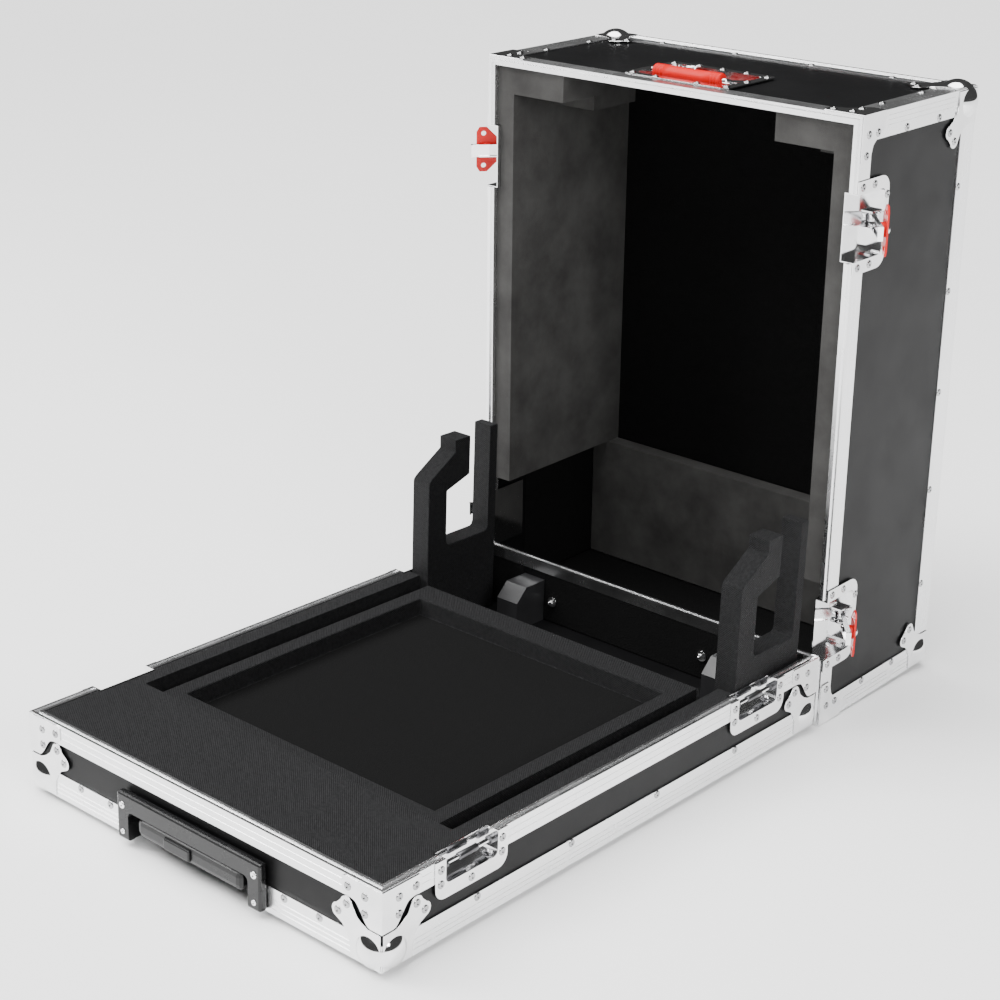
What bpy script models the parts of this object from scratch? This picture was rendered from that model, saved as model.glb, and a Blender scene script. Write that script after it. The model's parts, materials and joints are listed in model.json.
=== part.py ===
"""Wheeled touring case for a mixing console: a base tray with a foam cradle, and a lift-off lid.

Units are metres, +Z is up and the tray's front (its tow handle) faces -Y.  The case is open: the tray
lies on its ball corners and the lid stands on its rear end, directly behind the tray.  The lid is built
in its own frame (X across, Y from the open face to the closed back, Z along the case), which leans
forward a little, because its back corners stand on balls and its open rim does not.
"""
import math

import bmesh
import bpy
from mathutils import Matrix, Vector

# ---------------------------------------------------------------- driving dimensions
WIDTH = 0.540            # across the case, over the extrusions
LENGTH = 0.740           # tray front to back, and the standing lid's height
TRAY_HEIGHT = 0.090      # bottom extrusion to the rim's top
LID_DEPTH = 0.248        # the lid's open face to its closed back

PANEL = 0.007            # laminated plywood
SKIN = 0.0015            # wall of an aluminium extrusion
GAP = 0.0003             # clearance between pieces that touch
ANGLE = 0.030            # leg of the double-angle extrusion
RIM_DROP = 0.0235        # outer leg of the closing extrusion
RIM_INNER_DROP = 0.014   # its inner leg
RIM_INNER_WALL = 0.0012
RIM_WEB = 0.006          # from the rim's top to the panel's edge
RIM_GROOVE = 0.004       # width of the groove in the tray's rim
RIM_GROOVE_DEPTH = 0.003
RIM_TONGUE = 0.003       # width of the tongue on the lid's rim
RIM_TONGUE_HEIGHT = 0.0025

BALL_PROUD = 0.008       # how far a ball corner stands out of the case
BALL_SPAN = 0.034        # how far it reaches along each edge
BALL_ROUND = 0.0157
BRACE = 0.0015           # sheet of a corner brace or a dish's flange
LID_GAP = 0.0125         # open face of the standing lid to the tray's back, at the floor

LATCH_INSET = 0.125      # latch centre to the end of the case
DISH_LENGTH = 0.106
POCKET_LENGTH = 0.076
DISH_SHEET = 0.0012
STRIKE_HEIGHT = 0.044
STRIKE_POCKET = 0.028
STRIKE_DEPTH = 0.0145
KEEPER_RADIUS = 0.0024
LATCH_REACH = 0.065      # depth of the latch dish from the rim
LATCH_POCKET = 0.057
LATCH_DEPTH = 0.0158
PIN_FROM_RIM = 0.0515    # the latch arm's pin
PIN_IN = 0.0100          # below the case's side
ARM_LENGTH = 0.064
ARM_WIDTH = 0.016
ARM_SHEET = 0.0026
ARM_OPEN = math.radians(41)
KNUCKLE = 0.0030
WING_AT = 0.043          # the wing's axis along the arm
WING_OFFSET = 0.0072     # pin to the wing's inner face
WING_SHEET = 0.0022
WING_HALF = 0.0285       # half the wing's length
WING_HALF_WIDTH = 0.013
WING_HOLE = 0.0032
ROTOR_RADIUS = 0.0085

HANDLE_WIDTH = 0.152
HANDLE_DEPTH = 0.102
HANDLE_FROM_RIM = 0.071  # centre of the handle dish from the lid's open face
HANDLE_POCKET_X = 0.130
HANDLE_POCKET_Y = 0.080
HANDLE_POCKET_DEPTH = 0.0140
BAIL_WIRE = 0.0030
BAIL_HALF = 0.058        # pivot to pivot, halved
BAIL_ARM = 0.047
BAIL_BACK = 0.026        # bail pivot behind the dish's centre
GRIP_RADIUS = 0.0088
GRIP_LENGTH = 0.098
GRIP_UP = 0.0030         # grip axis above the lid's end, when folded

FOAM_CLEAR = 0.0010      # foam below the rim's top
BRIDGE_DEPTH = 0.1235    # front foam from the rim to the cradle
STRIP_WIDTH = 0.0235     # foam along each side
SIDE_GROOVE = 0.0230     # between the side foam and the cradle
CRADLE_WALL = 0.0215
CRADLE_REAR_WALL = 0.0370
REAR_BAY = 0.1636        # clear space behind the cradle, to the case's back
CRADLE_DROP = 0.0055     # cradle's top below the rim
WELL_DEPTH = 0.0235

BRACKET_THICK = 0.0280
BRACKET_CLEAR = 0.0010   # bracket to the back of a strike dish
BRACKET_SPAN = 0.1280    # both columns and the space between
BRACKET_FROM_BACK = 0.0220
BRACKET_FRONT = 0.0340   # front column, front to back
BRACKET_REAR = 0.0140    # rear column
BRACKET_CRANK = 0.0480   # how far the front column's top is set back
BRACKET_TIP = 0.0280     # and how deep it is there
BRACKET_SHOULDER = 0.1280   # heights above the tray's rim: foot of the slope,
BRACKET_SLOPE_TOP = 0.1560  # its head,
BRACKET_TIP_TOP = 0.1720    # the front column's top,
BRACKET_REAR_TOP = 0.1760   # the rear column's top,
BRACKET_UNDER_LOW = 0.1070  # the slope's underside, low end
BRACKET_UNDER_HIGH = 0.1200 # and high end,
BRACKET_SLOT = 0.0320    # and the bottom of the space between the columns
BRACKET_ROUND = 0.0060

WHEEL_RADIUS = 0.0310
WHEEL_WIDTH = 0.0240
WHEEL_BORE = 0.0043
AXLE_RADIUS = 0.0040
WHEEL_FROM_SIDE = 0.1050
WHEEL_STRIP = 0.0070     # strip of the edge extrusion left at the corner beside a wheel
WHEEL_FROM_BACK = 0.0260
WHEEL_HEIGHT = 0.0360
HOUSING_WALL = 0.0020
HOUSING_SIDE = 0.0030    # wheel to the housing's cheek
HOUSING_RUN = 0.0045     # tyre to the housing's roof
HOUSING_SLANT = 0.0180

TOW_WIDTH = 0.222
TOW_TOP = 0.0645         # top of the tow handle's frame above the floor
TOW_BOTTOM = 0.0100
TOW_LEG = 0.0180
TOW_BAR = 0.0195
TOW_PROUD = 0.0100
TOW_RECESS = 0.0200      # the grip's niche behind the case's front
TOW_WALL = 0.0015        # the niche's lining
TOW_TUBE_X = 0.0680      # telescopic tubes, from the middle
TOW_TUBE = 0.0160
TOW_TUBE_HEIGHT = 0.0100
TOW_TUBE_LENGTH = 0.4300
TOW_SLEEVE_WALL = 0.0014
TOW_RUN = 0.0006         # clearance between tube and sleeve
TOW_SLEEVE_LENGTH = 0.4500
TOW_AXIS_Z = 0.0315
TOW_GRIP_LENGTH = 0.164
TOW_GRIP_DEPTH = 0.0230
TOW_GRIP_HEIGHT = 0.0245
TOW_GRIP_GAP = 0.0060    # behind the grip, to the niche's back
BUTTON_X = -0.0150       # the push button sits left of the middle
BUTTON_LENGTH = 0.0400
BUTTON_HEIGHT = 0.0130
BUTTON_PROUD = 0.0030
BUTTON_TRAVEL = 0.0040

SIDE_FOAM = 0.0260       # lid foam thickness along the sides
SIDE_FOAM_BOTTOM = 0.1820
BACK_BLOCK = 0.0230      # foam slab low across the lid's back
CORNER_BLOCK_X = 0.0790
CORNER_BLOCK_Z = 0.0340
CORNER_BLOCK_Y = 0.0800
INNER_BLOCK_X = 0.0660
INNER_BLOCK_Y = 0.0800
INNER_BLOCK_Z = 0.0560

# ---------------------------------------------------------------- worked out from them
HALF = WIDTH / 2
PANEL_INSET = SKIN + GAP
RIM_WIDTH = SKIN + GAP + PANEL + GAP + RIM_INNER_WALL
INNER = PANEL_INSET + PANEL          # case's outside to a panel's inner face
TRAY_BOTTOM = BALL_PROUD
RIM_TOP = TRAY_BOTTOM + TRAY_HEIGHT
FLOOR_TOP = TRAY_BOTTOM + INNER
LID_TILT = math.asin((BALL_PROUD - BRACE) / (LID_DEPTH - BALL_SPAN))


# ---------------------------------------------------------------- scene and materials
def clear_scene():
    """Remove what the file opened with."""
    for old in list(bpy.data.objects):
        bpy.data.objects.remove(old, do_unlink=True)


def new_collection(name):
    """A collection linked to the scene."""
    collection = bpy.data.collections.new(name)
    bpy.context.scene.collection.children.link(collection)
    return collection


def finish(name, colour, roughness, metallic):
    """A plain Principled material."""
    material = bpy.data.materials.new(name)
    material.use_nodes = True
    shader = material.node_tree.nodes["Principled BSDF"]
    shader.inputs["Base Color"].default_value = (*colour, 1)
    shader.inputs["Roughness"].default_value = roughness
    shader.inputs["Metallic"].default_value = metallic
    return material


FINISHES = {
    "laminate": ((0.045, 0.045, 0.047), 0.55, 0.0),
    "aluminium": ((0.80, 0.81, 0.82), 0.32, 1.0),
    "zinc": ((0.78, 0.79, 0.80), 0.18, 1.0),
    "red": ((0.72, 0.01, 0.01), 0.38, 0.0),
    "foam": ((0.045, 0.045, 0.047), 0.85, 0.0),
    "black_metal": ((0.03, 0.03, 0.032), 0.45, 0.6),
    "black_plastic": ((0.025, 0.025, 0.027), 0.40, 0.0),
    "tyre": ((0.02, 0.02, 0.02), 0.60, 0.0),
}


# ---------------------------------------------------------------- modelling helpers
class Workshop:
    """Makes named solids in the parts' collection and hidden cutters beside it."""

    def __init__(self):
        self.parts = new_collection("touring_case")
        self.cutters = new_collection("cutters")
        self.materials = {name: finish(name, *values) for name, values in FINISHES.items()}
        self.count = 0

    def empty(self, name, parent=None, location=(0, 0, 0), rotation=(0, 0, 0)):
        """An axis or a frame that pieces hang from."""
        holder = bpy.data.objects.new(name, None)
        holder.location = location
        holder.rotation_euler = rotation
        holder.parent = parent
        holder.empty_display_size = 0.02
        self.parts.objects.link(holder)
        return holder

    def solid(self, name, mesh, material, parent, location=(0, 0, 0)):
        """A sub-part with its material."""
        piece = bpy.data.objects.new(name, mesh)
        mesh.materials.clear()
        mesh.materials.append(self.materials[material])
        piece.location = location
        piece.parent = parent
        self.parts.objects.link(piece)
        return piece

    def cutter(self, mesh, parent, location=(0, 0, 0), rotation=(0, 0, 0)):
        """A tool body, hidden and shown as wire."""
        self.count += 1
        tool = bpy.data.objects.new("tool_%03d" % self.count, mesh)
        tool.location = location
        tool.rotation_euler = rotation
        tool.parent = parent
        tool.hide_render = True
        tool.display_type = "WIRE"
        self.cutters.objects.link(tool)
        return tool


def centre_of(low, high):
    """The middle of a box."""
    return (Vector(low) + Vector(high)) / 2


def box_mesh(low, high, rounded=0.0, segments=3, edges=None):
    """A box about its own centre; edges(a, b) picks the ones to round, or all of them."""
    size = Vector(high) - Vector(low)
    shape = bmesh.new()
    bmesh.ops.create_cube(shape, size=1.0)
    bmesh.ops.scale(shape, vec=size, verts=shape.verts)
    if rounded:
        chosen = [edge for edge in shape.edges if edges is None or edges(*(v.co for v in edge.verts))]
        bmesh.ops.bevel(shape, geom=chosen, offset=rounded, segments=segments, profile=0.5, affect="EDGES")
    mesh = bpy.data.meshes.new("box")
    shape.to_mesh(mesh)
    shape.free()
    return mesh


def along(axis):
    """Picks a box's edges that run along X, Y or Z (0, 1, 2)."""
    def chosen(a, b):
        return abs(a[axis] - b[axis]) > 1e-6
    return chosen


def rod_mesh(radius, length, axis, sides=24):
    """A cylinder about its own centre."""
    shape = bmesh.new()
    bmesh.ops.create_cone(shape, cap_ends=True, segments=sides, radius1=radius, radius2=radius, depth=length)
    turn = {0: Matrix.Rotation(math.pi / 2, 4, "Y"), 1: Matrix.Rotation(math.pi / 2, 4, "X")}
    if axis in turn:
        bmesh.ops.transform(shape, matrix=turn[axis], verts=shape.verts)
    mesh = bpy.data.meshes.new("rod")
    shape.to_mesh(mesh)
    shape.free()
    return mesh


def slab_mesh(outline, thickness, holes=()):
    """A flat outline in XY, as a 2D curve filled on both sides; holes are (x, y, radius)."""
    curve = bpy.data.curves.new("outline", "CURVE")
    curve.dimensions = "2D"
    curve.fill_mode = "BOTH"
    curve.extrude = thickness / 2
    loops = [outline]
    for x, y, radius in holes:
        turns = [math.tau * step / 16 for step in range(16)]
        loops.append([(x + radius * math.cos(t), y + radius * math.sin(t)) for t in turns])
    for loop in loops:
        spline = curve.splines.new("POLY")
        spline.points.add(len(loop) - 1)
        for point, (x, y) in zip(spline.points, loop):
            point.co = (x, y, 0, 1)
        spline.use_cyclic_u = True
    holder = bpy.data.objects.new("outline", curve)
    bpy.context.scene.collection.objects.link(holder)
    bpy.context.view_layer.update()
    evaluated = holder.evaluated_get(bpy.context.evaluated_depsgraph_get())
    mesh = bpy.data.meshes.new_from_object(evaluated)
    bpy.data.objects.remove(holder, do_unlink=True)
    return welded(mesh)


def welded(mesh):
    """Join the loose caps that a curve leaves."""
    shape = bmesh.new()
    shape.from_mesh(mesh)
    bmesh.ops.remove_doubles(shape, verts=shape.verts, dist=1e-6)
    bmesh.ops.recalc_face_normals(shape, faces=shape.faces)
    shape.to_mesh(mesh)
    shape.free()
    return mesh


def wire_mesh(points, radius, resolution=2):
    """A round wire through the points."""
    curve = bpy.data.curves.new("wire", "CURVE")
    curve.dimensions = "3D"
    curve.bevel_depth = radius
    curve.bevel_resolution = resolution
    curve.use_fill_caps = True
    spline = curve.splines.new("POLY")
    spline.points.add(len(points) - 1)
    for point, place in zip(spline.points, points):
        point.co = (*place, 1)
    holder = bpy.data.objects.new("wire", curve)
    bpy.context.scene.collection.objects.link(holder)
    bpy.context.view_layer.update()
    evaluated = holder.evaluated_get(bpy.context.evaluated_depsgraph_get())
    mesh = bpy.data.meshes.new_from_object(evaluated)
    bpy.data.objects.remove(holder, do_unlink=True)
    return welded(mesh)


def mitred_ring(profile, width, length):
    """A closed rectangular ring in XY, mitred at its corners; profile is (inset, height) points.

    The profile is spun in four steps, which gives a square ring with true mitres, and the square is
    then pulled apart to the rectangle.
    """
    reach = 0.05
    shape = bmesh.new()
    corner = math.sqrt(0.5)
    verts = []
    for inset, height in profile:
        radius = (reach - inset) / corner
        verts.append(shape.verts.new((radius * corner, radius * corner, height)))
    edges = [shape.edges.new((a, b)) for a, b in zip(verts, verts[1:] + verts[:1])]
    bmesh.ops.spin(shape, geom=edges, axis=(0, 0, 1), cent=(0, 0, 0), angle=math.tau, steps=4)
    bmesh.ops.remove_doubles(shape, verts=shape.verts, dist=1e-6)
    for vert in shape.verts:
        vert.co.x += math.copysign(width / 2 - reach, vert.co.x)
        vert.co.y += math.copysign(length / 2 - reach, vert.co.y)
    bmesh.ops.recalc_face_normals(shape, faces=shape.faces)
    mesh = bpy.data.meshes.new("ring")
    shape.to_mesh(mesh)
    shape.free()
    return mesh


def boolean(piece, tool, operation="DIFFERENCE"):
    """Cut, join or keep the common part, exactly."""
    modifier = piece.modifiers.new(operation.lower(), "BOOLEAN")
    modifier.operation = operation
    modifier.solver = "EXACT"
    modifier.object = tool
    return piece


def smooth(piece, angle=35):
    """Shade round faces smooth and keep the sharp ones."""
    piece.data.shade_smooth()
    piece.data.set_sharp_from_angle(angle=math.radians(angle))


class Bench:
    """Places boxes and cuts in one frame, given by their low and high corners."""

    def __init__(self, shop, frame):
        self.shop = shop
        self.frame = frame

    def box(self, name, low, high, material, **rounding):
        """A box sub-part."""
        mesh = box_mesh(low, high, **rounding)
        return self.shop.solid(name, mesh, material, self.frame, centre_of(low, high))

    def tool(self, low, high, **rounding):
        """A box tool."""
        return self.shop.cutter(box_mesh(low, high, **rounding), self.frame, centre_of(low, high))

    def cut(self, piece, low, high, **rounding):
        """Take a box away."""
        return boolean(piece, self.tool(low, high, **rounding))

    def add(self, piece, low, high, **rounding):
        """Join a box on."""
        return boolean(piece, self.tool(low, high, **rounding), "UNION")


# ---------------------------------------------------------------- shared hardware
def rim_profile(tongue):
    """The closing extrusion's section: (inset from the case's outside, height above its open face)."""
    middle = RIM_WIDTH / 2
    if tongue:
        half, rise = RIM_TONGUE / 2, RIM_TONGUE_HEIGHT
    else:
        half, rise = RIM_GROOVE / 2, -RIM_GROOVE_DEPTH
    inner = RIM_WIDTH - RIM_INNER_WALL
    return [
        (0, -RIM_DROP), (0, 0), (middle - half, 0), (middle - half, rise), (middle + half, rise),
        (middle + half, 0), (RIM_WIDTH, 0), (RIM_WIDTH, -RIM_INNER_DROP), (inner, -RIM_INNER_DROP),
        (inner, -RIM_WEB), (SKIN, -RIM_WEB), (SKIN, -RIM_DROP),
    ]


def rim_pieces(shop, prefix, frame, to_world, ends, tongue):
    """Four lengths of closing extrusion, which stop at the dishes.

    The ring is made about its own centre with +Z out of the open face.  The two names in ends are for
    its -Y and +Y ends.
    """
    notch = POCKET_LENGTH / 2 + DISH_SHEET + GAP
    first = LENGTH / 2 - LATCH_INSET - notch      # from the middle to the near side of a dish
    last = LENGTH / 2 - LATCH_INSET + notch
    beyond = LENGTH
    regions = {
        ends[0]: ((-beyond, -beyond), (beyond, -last)),
        ends[1]: ((-beyond, last), (beyond, beyond)),
        "left": ((-beyond, -first), (0, first)),
        "right": ((0, -first), (beyond, first)),
    }
    holder = shop.empty(prefix + "_rim_plane", frame)
    holder.matrix_basis = to_world
    bench = Bench(shop, holder)
    for side, (low, high) in regions.items():
        mesh = mitred_ring(rim_profile(tongue), WIDTH, LENGTH)
        piece = shop.solid("%s_rim_%s" % (prefix, side), mesh, "aluminium", holder)
        boolean(piece, bench.tool((*low, -0.1), (*high, 0.1)), "INTERSECT")


def ball_corner(shop, name, frame, corner, signs, case_low, case_high):
    """A rounded cap over one corner of the case, hollow where the case is."""
    outer = [corner[i] + signs[i] * BALL_PROUD for i in range(3)]
    inner = [corner[i] - signs[i] * BALL_SPAN for i in range(3)]
    low = [min(pair) for pair in zip(outer, inner)]
    high = [max(pair) for pair in zip(outer, inner)]
    mesh = box_mesh(low, high, rounded=BALL_ROUND, segments=4)
    piece = shop.solid(name, mesh, "zinc", frame, centre_of(low, high))
    bench = Bench(shop, frame)
    bench.cut(piece, [v - GAP for v in case_low], [v + GAP for v in case_high])
    smooth(piece, 50)


# ---------------------------------------------------------------- the tray
def tray_panels(bench):
    """Floor and four walls of laminated plywood."""
    out = HALF - PANEL_INSET
    front = -LENGTH + PANEL_INSET
    back = -PANEL_INSET
    low = TRAY_BOTTOM + PANEL_INSET
    top = RIM_TOP - RIM_WEB - GAP
    floor_top = low + PANEL
    foot = floor_top + GAP
    panels = {
        "floor": bench.box("tray_floor", (-out, front, low), (out, back, floor_top), "laminate"),
        "front": bench.box("tray_front", (-out, front, foot), (out, front + PANEL, top), "laminate"),
        "back": bench.box("tray_back", (-out, back - PANEL, foot), (out, back, top), "laminate"),
    }
    for side, sign in (("left", -1), ("right", 1)):
        xs = sorted((sign * out, sign * (out - PANEL)))
        low_corner = (xs[0], front + PANEL + GAP, floor_top + GAP)
        high_corner = (xs[1], back - PANEL - GAP, top)
        panels[side] = bench.box("tray_" + side, low_corner, high_corner, "laminate")
    return panels


def tray_angle(bench):
    """Double-angle extrusion round the tray's bottom edge."""
    low = (-HALF, -LENGTH, TRAY_BOTTOM)
    high = (HALF, 0, TRAY_BOTTOM + ANGLE)
    frame = bench.box("tray_edge_angle", low, high, "aluminium")
    bench.cut(frame, (-HALF + SKIN, -LENGTH + SKIN, TRAY_BOTTOM + SKIN), (HALF - SKIN, -SKIN, 0.2))
    bench.cut(frame, (-HALF + ANGLE, -LENGTH + ANGLE, -0.1), (HALF - ANGLE, -ANGLE, 0.2))
    return frame


def strike_dishes(shop, bench, panels, foam):
    """Recessed dishes in the tray's long sides, with a keeper bar for the latch's claw."""
    for side, sign in (("left", -1), ("right", 1)):
        for place, y in (("front", -LENGTH + LATCH_INSET), ("back", -LATCH_INSET)):
            def span(inner, outer):
                return sorted((sign * (HALF + inner), sign * (HALF + outer)))
            top = RIM_TOP - GAP
            x0, x1 = span(GAP, GAP + DISH_SHEET)
            low = (x0, y - DISH_LENGTH / 2, RIM_TOP - STRIKE_HEIGHT)
            high = (x1, y + DISH_LENGTH / 2, top)
            plate_mesh = box_mesh(low, high, rounded=0.014, segments=5,
                                  edges=lambda a, b: abs(a.x - b.x) > 1e-6 and a.z < 0)
            dish = shop.solid("strike_dish_%s_%s" % (side, place), plate_mesh, "zinc", bench.frame,
                              centre_of(low, high))
            half = POCKET_LENGTH / 2
            x0, x1 = span(-STRIKE_DEPTH, GAP + DISH_SHEET)
            pan_low = (x0, y - half - DISH_SHEET, RIM_TOP - STRIKE_POCKET - DISH_SHEET)
            pan_high = (x1, y + half + DISH_SHEET, top)
            bench.add(dish, pan_low, pan_high)
            x0, x1 = span(-STRIKE_DEPTH + DISH_SHEET, 0.02)
            bench.cut(dish, (x0, y - half, RIM_TOP - STRIKE_POCKET), (x1, y + half, 0.2), rounded=0.006,
                      edges=along(0))
            keeper = rod_mesh(KEEPER_RADIUS, POCKET_LENGTH + DISH_SHEET, 1, 16)
            place_at = (sign * (HALF - 0.0055), y, RIM_TOP - 0.0105)
            boolean(dish, shop.cutter(keeper, bench.frame, place_at), "UNION")
            smooth(dish)
            x0, x1 = span(-STRIKE_DEPTH - GAP, 0.02)
            room_low = (x0, pan_low[1] - GAP, pan_low[2] - GAP)
            room_high = (x1, pan_high[1] + GAP, 0.2)
            bench.cut(panels[side], room_low, room_high)
            bench.cut(foam, room_low, room_high)


def tray_foam(bench):
    """Front bridge and side strips in one surround, and the cradle for the console."""
    top = RIM_TOP - FOAM_CLEAR
    edge = HALF - RIM_WIDTH - GAP
    front = -LENGTH + RIM_WIDTH + GAP
    base = FLOOR_TOP + GAP
    bridge_back = front + BRIDGE_DEPTH
    strip_end = -(BRACKET_FROM_BACK + BRACKET_SPAN + 0.004)
    surround = bench.box("foam_surround", (-edge, front, base), (edge, strip_end, top), "foam")
    inner = edge - STRIP_WIDTH
    bench.cut(surround, (-inner, bridge_back, 0), (inner, 0, 0.2))
    tunnel = tow_tunnel()
    bench.cut(surround, (-tunnel[0], -LENGTH, 0), (tunnel[0], 0, tunnel[1]))
    cradle_half = inner - SIDE_GROOVE
    cradle_front = bridge_back + GAP
    cradle_back = -REAR_BAY
    cradle_top = RIM_TOP - CRADLE_DROP
    low = (-cradle_half, cradle_front, base)
    high = (cradle_half, cradle_back, cradle_top)
    cradle = bench.box("foam_cradle", low, high, "foam")
    well_low = (-cradle_half + CRADLE_WALL, cradle_front + CRADLE_WALL, cradle_top - WELL_DEPTH)
    well_high = (cradle_half - CRADLE_WALL, cradle_back - CRADLE_REAR_WALL, 0.2)
    bench.cut(cradle, well_low, well_high)
    bench.cut(cradle, (-tunnel[0], -LENGTH, 0), (tunnel[0], -LENGTH + TOW_SLEEVE_LENGTH + 0.004, tunnel[1]))
    return surround


def tow_tunnel():
    """Half the width and the top of the space that the tow handle takes, under the foam."""
    half = TOW_WIDTH / 2 - TOW_LEG + TOW_WALL + 0.001
    top = TOW_TOP - TOW_BAR + TOW_WALL + 0.001
    return half, top


def bracket_outline():
    """Side view of a bracket: (y from its front, z above the tray's rim), front column cranked back."""
    tip_back = BRACKET_CRANK + BRACKET_TIP
    slot_back = BRACKET_SPAN - BRACKET_REAR
    bottom = FLOOR_TOP + GAP - RIM_TOP
    r = BRACKET_ROUND
    return [
        (0, bottom), (BRACKET_SPAN, bottom), (BRACKET_SPAN, BRACKET_REAR_TOP), (slot_back, BRACKET_REAR_TOP),
        (slot_back, BRACKET_SLOT + r), (slot_back - 0.3 * r, BRACKET_SLOT + 0.3 * r),
        (slot_back - r, BRACKET_SLOT),
        (BRACKET_FRONT + r, BRACKET_SLOT), (BRACKET_FRONT + 0.3 * r, BRACKET_SLOT + 0.3 * r),
        (BRACKET_FRONT, BRACKET_SLOT + r), (BRACKET_FRONT, BRACKET_UNDER_LOW),
        (tip_back, BRACKET_UNDER_HIGH), (tip_back, BRACKET_TIP_TOP),
        (BRACKET_CRANK, BRACKET_TIP_TOP), (BRACKET_CRANK, BRACKET_SLOPE_TOP),
        (0.8 * r, BRACKET_SHOULDER + 0.3 * r), (0.1 * r, BRACKET_SHOULDER - 0.4 * r),
        (0, BRACKET_SHOULDER - r),
    ]


def brackets(shop, bench):
    """Two upright foam brackets behind the cradle."""
    front = -(BRACKET_FROM_BACK + BRACKET_SPAN)
    for side, sign in (("left", -1), ("right", 1)):
        mesh = slab_mesh(bracket_outline(), BRACKET_THICK)
        x = sign * (HALF - STRIKE_DEPTH - BRACKET_CLEAR - BRACKET_THICK / 2)
        piece = shop.solid("bracket_" + side, mesh, "foam", bench.frame, (x, front, RIM_TOP))
        piece.rotation_euler = (math.pi / 2, 0, math.pi / 2)


def wheels(shop, bench, panels, angle):
    """Two recessed wheels in the tray's back bottom edge, each in a housing with its axle."""
    axle_y = -WHEEL_FROM_BACK
    for side, sign in (("left", -1), ("right", 1)):
        x = sign * (HALF - WHEEL_FROM_SIDE)
        cheek = WHEEL_WIDTH / 2 + HOUSING_SIDE
        outer = cheek + HOUSING_WALL
        room = WHEEL_RADIUS + HOUSING_RUN
        low = (x - outer, axle_y - room - HOUSING_WALL, TRAY_BOTTOM + SKIN + GAP)
        high = (x + outer, -SKIN - GAP, WHEEL_HEIGHT + room + HOUSING_WALL)
        mesh = box_mesh(low, high, rounded=HOUSING_SLANT, segments=1,
                        edges=lambda a, b: abs(a.x - b.x) > 1e-6 and a.y < 0 < a.z)
        housing = shop.solid("wheel_housing_" + side, mesh, "black_metal", bench.frame, centre_of(low, high))
        inside_low = (x - cheek, axle_y - room, 0)
        inside_high = (x + cheek, 0.05, WHEEL_HEIGHT + room)
        inside = shop.cutter(
            box_mesh(inside_low, inside_high, rounded=HOUSING_SLANT, segments=1,
                     edges=lambda a, b: abs(a.x - b.x) > 1e-6 and a.y < 0 < a.z),
            bench.frame, centre_of(inside_low, inside_high))
        boolean(housing, inside)
        axle = shop.cutter(rod_mesh(AXLE_RADIUS, 2 * cheek + HOUSING_WALL, 0, 20), bench.frame,
                           (x, axle_y, WHEEL_HEIGHT))
        boolean(housing, axle, "UNION")
        room_low = [v - GAP for v in low]
        room_high = [v + GAP for v in high]
        room_low[2] = 0
        room_high[1] = 0.05
        bench.cut(panels["floor"], room_low, room_high)
        bench.cut(panels["back"], room_low, room_high)
        slot = WHEEL_WIDTH / 2 + HOUSING_SIDE
        bottom_reach = math.sqrt(room ** 2 - (WHEEL_HEIGHT - TRAY_BOTTOM) ** 2)
        low = (x - slot, axle_y - bottom_reach - 0.004, 0)
        bench.cut(angle, low, (x + slot, -WHEEL_STRIP, TRAY_BOTTOM + 0.004))
        bench.cut(angle, (x - slot, -0.004, TRAY_BOTTOM + WHEEL_STRIP - SKIN), (x + slot, 0.05, 0.1))
        wheel_body(shop, "wheel_" + side, bench.frame, (x, axle_y, WHEEL_HEIGHT))


def wheel_body(shop, name, frame, place):
    """A skate wheel, turned about X: a rounded tyre on a hub."""
    half = WHEEL_WIDTH / 2
    hub = half - 0.0015
    outline = [(WHEEL_BORE, hub), (0.013, hub), (0.0145, half - 0.004), (0.0185, half - 0.003)]
    steps = 5
    for step in range(steps + 1):
        turn = math.pi / 2 * step / steps
        outline.append((WHEEL_RADIUS - 0.010 * (1 - math.sin(turn)), (half - 0.001) * math.cos(turn)))
    whole = outline + [(radius, -width) for radius, width in reversed(outline[:-1])]
    shape = bmesh.new()
    verts = [shape.verts.new((radius, 0, width)) for radius, width in whole]
    edges = [shape.edges.new((a, b)) for a, b in zip(verts, verts[1:] + verts[:1])]
    bmesh.ops.spin(shape, geom=edges, axis=(0, 0, 1), cent=(0, 0, 0), angle=math.tau, steps=28)
    bmesh.ops.remove_doubles(shape, verts=shape.verts, dist=1e-6)
    bmesh.ops.recalc_face_normals(shape, faces=shape.faces)
    bmesh.ops.rotate(shape, matrix=Matrix.Rotation(math.pi / 2, 3, "Y"), verts=shape.verts)
    mesh = bpy.data.meshes.new(name)
    shape.to_mesh(mesh)
    shape.free()
    smooth(shop.solid(name, mesh, "tyre", frame, place))


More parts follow.
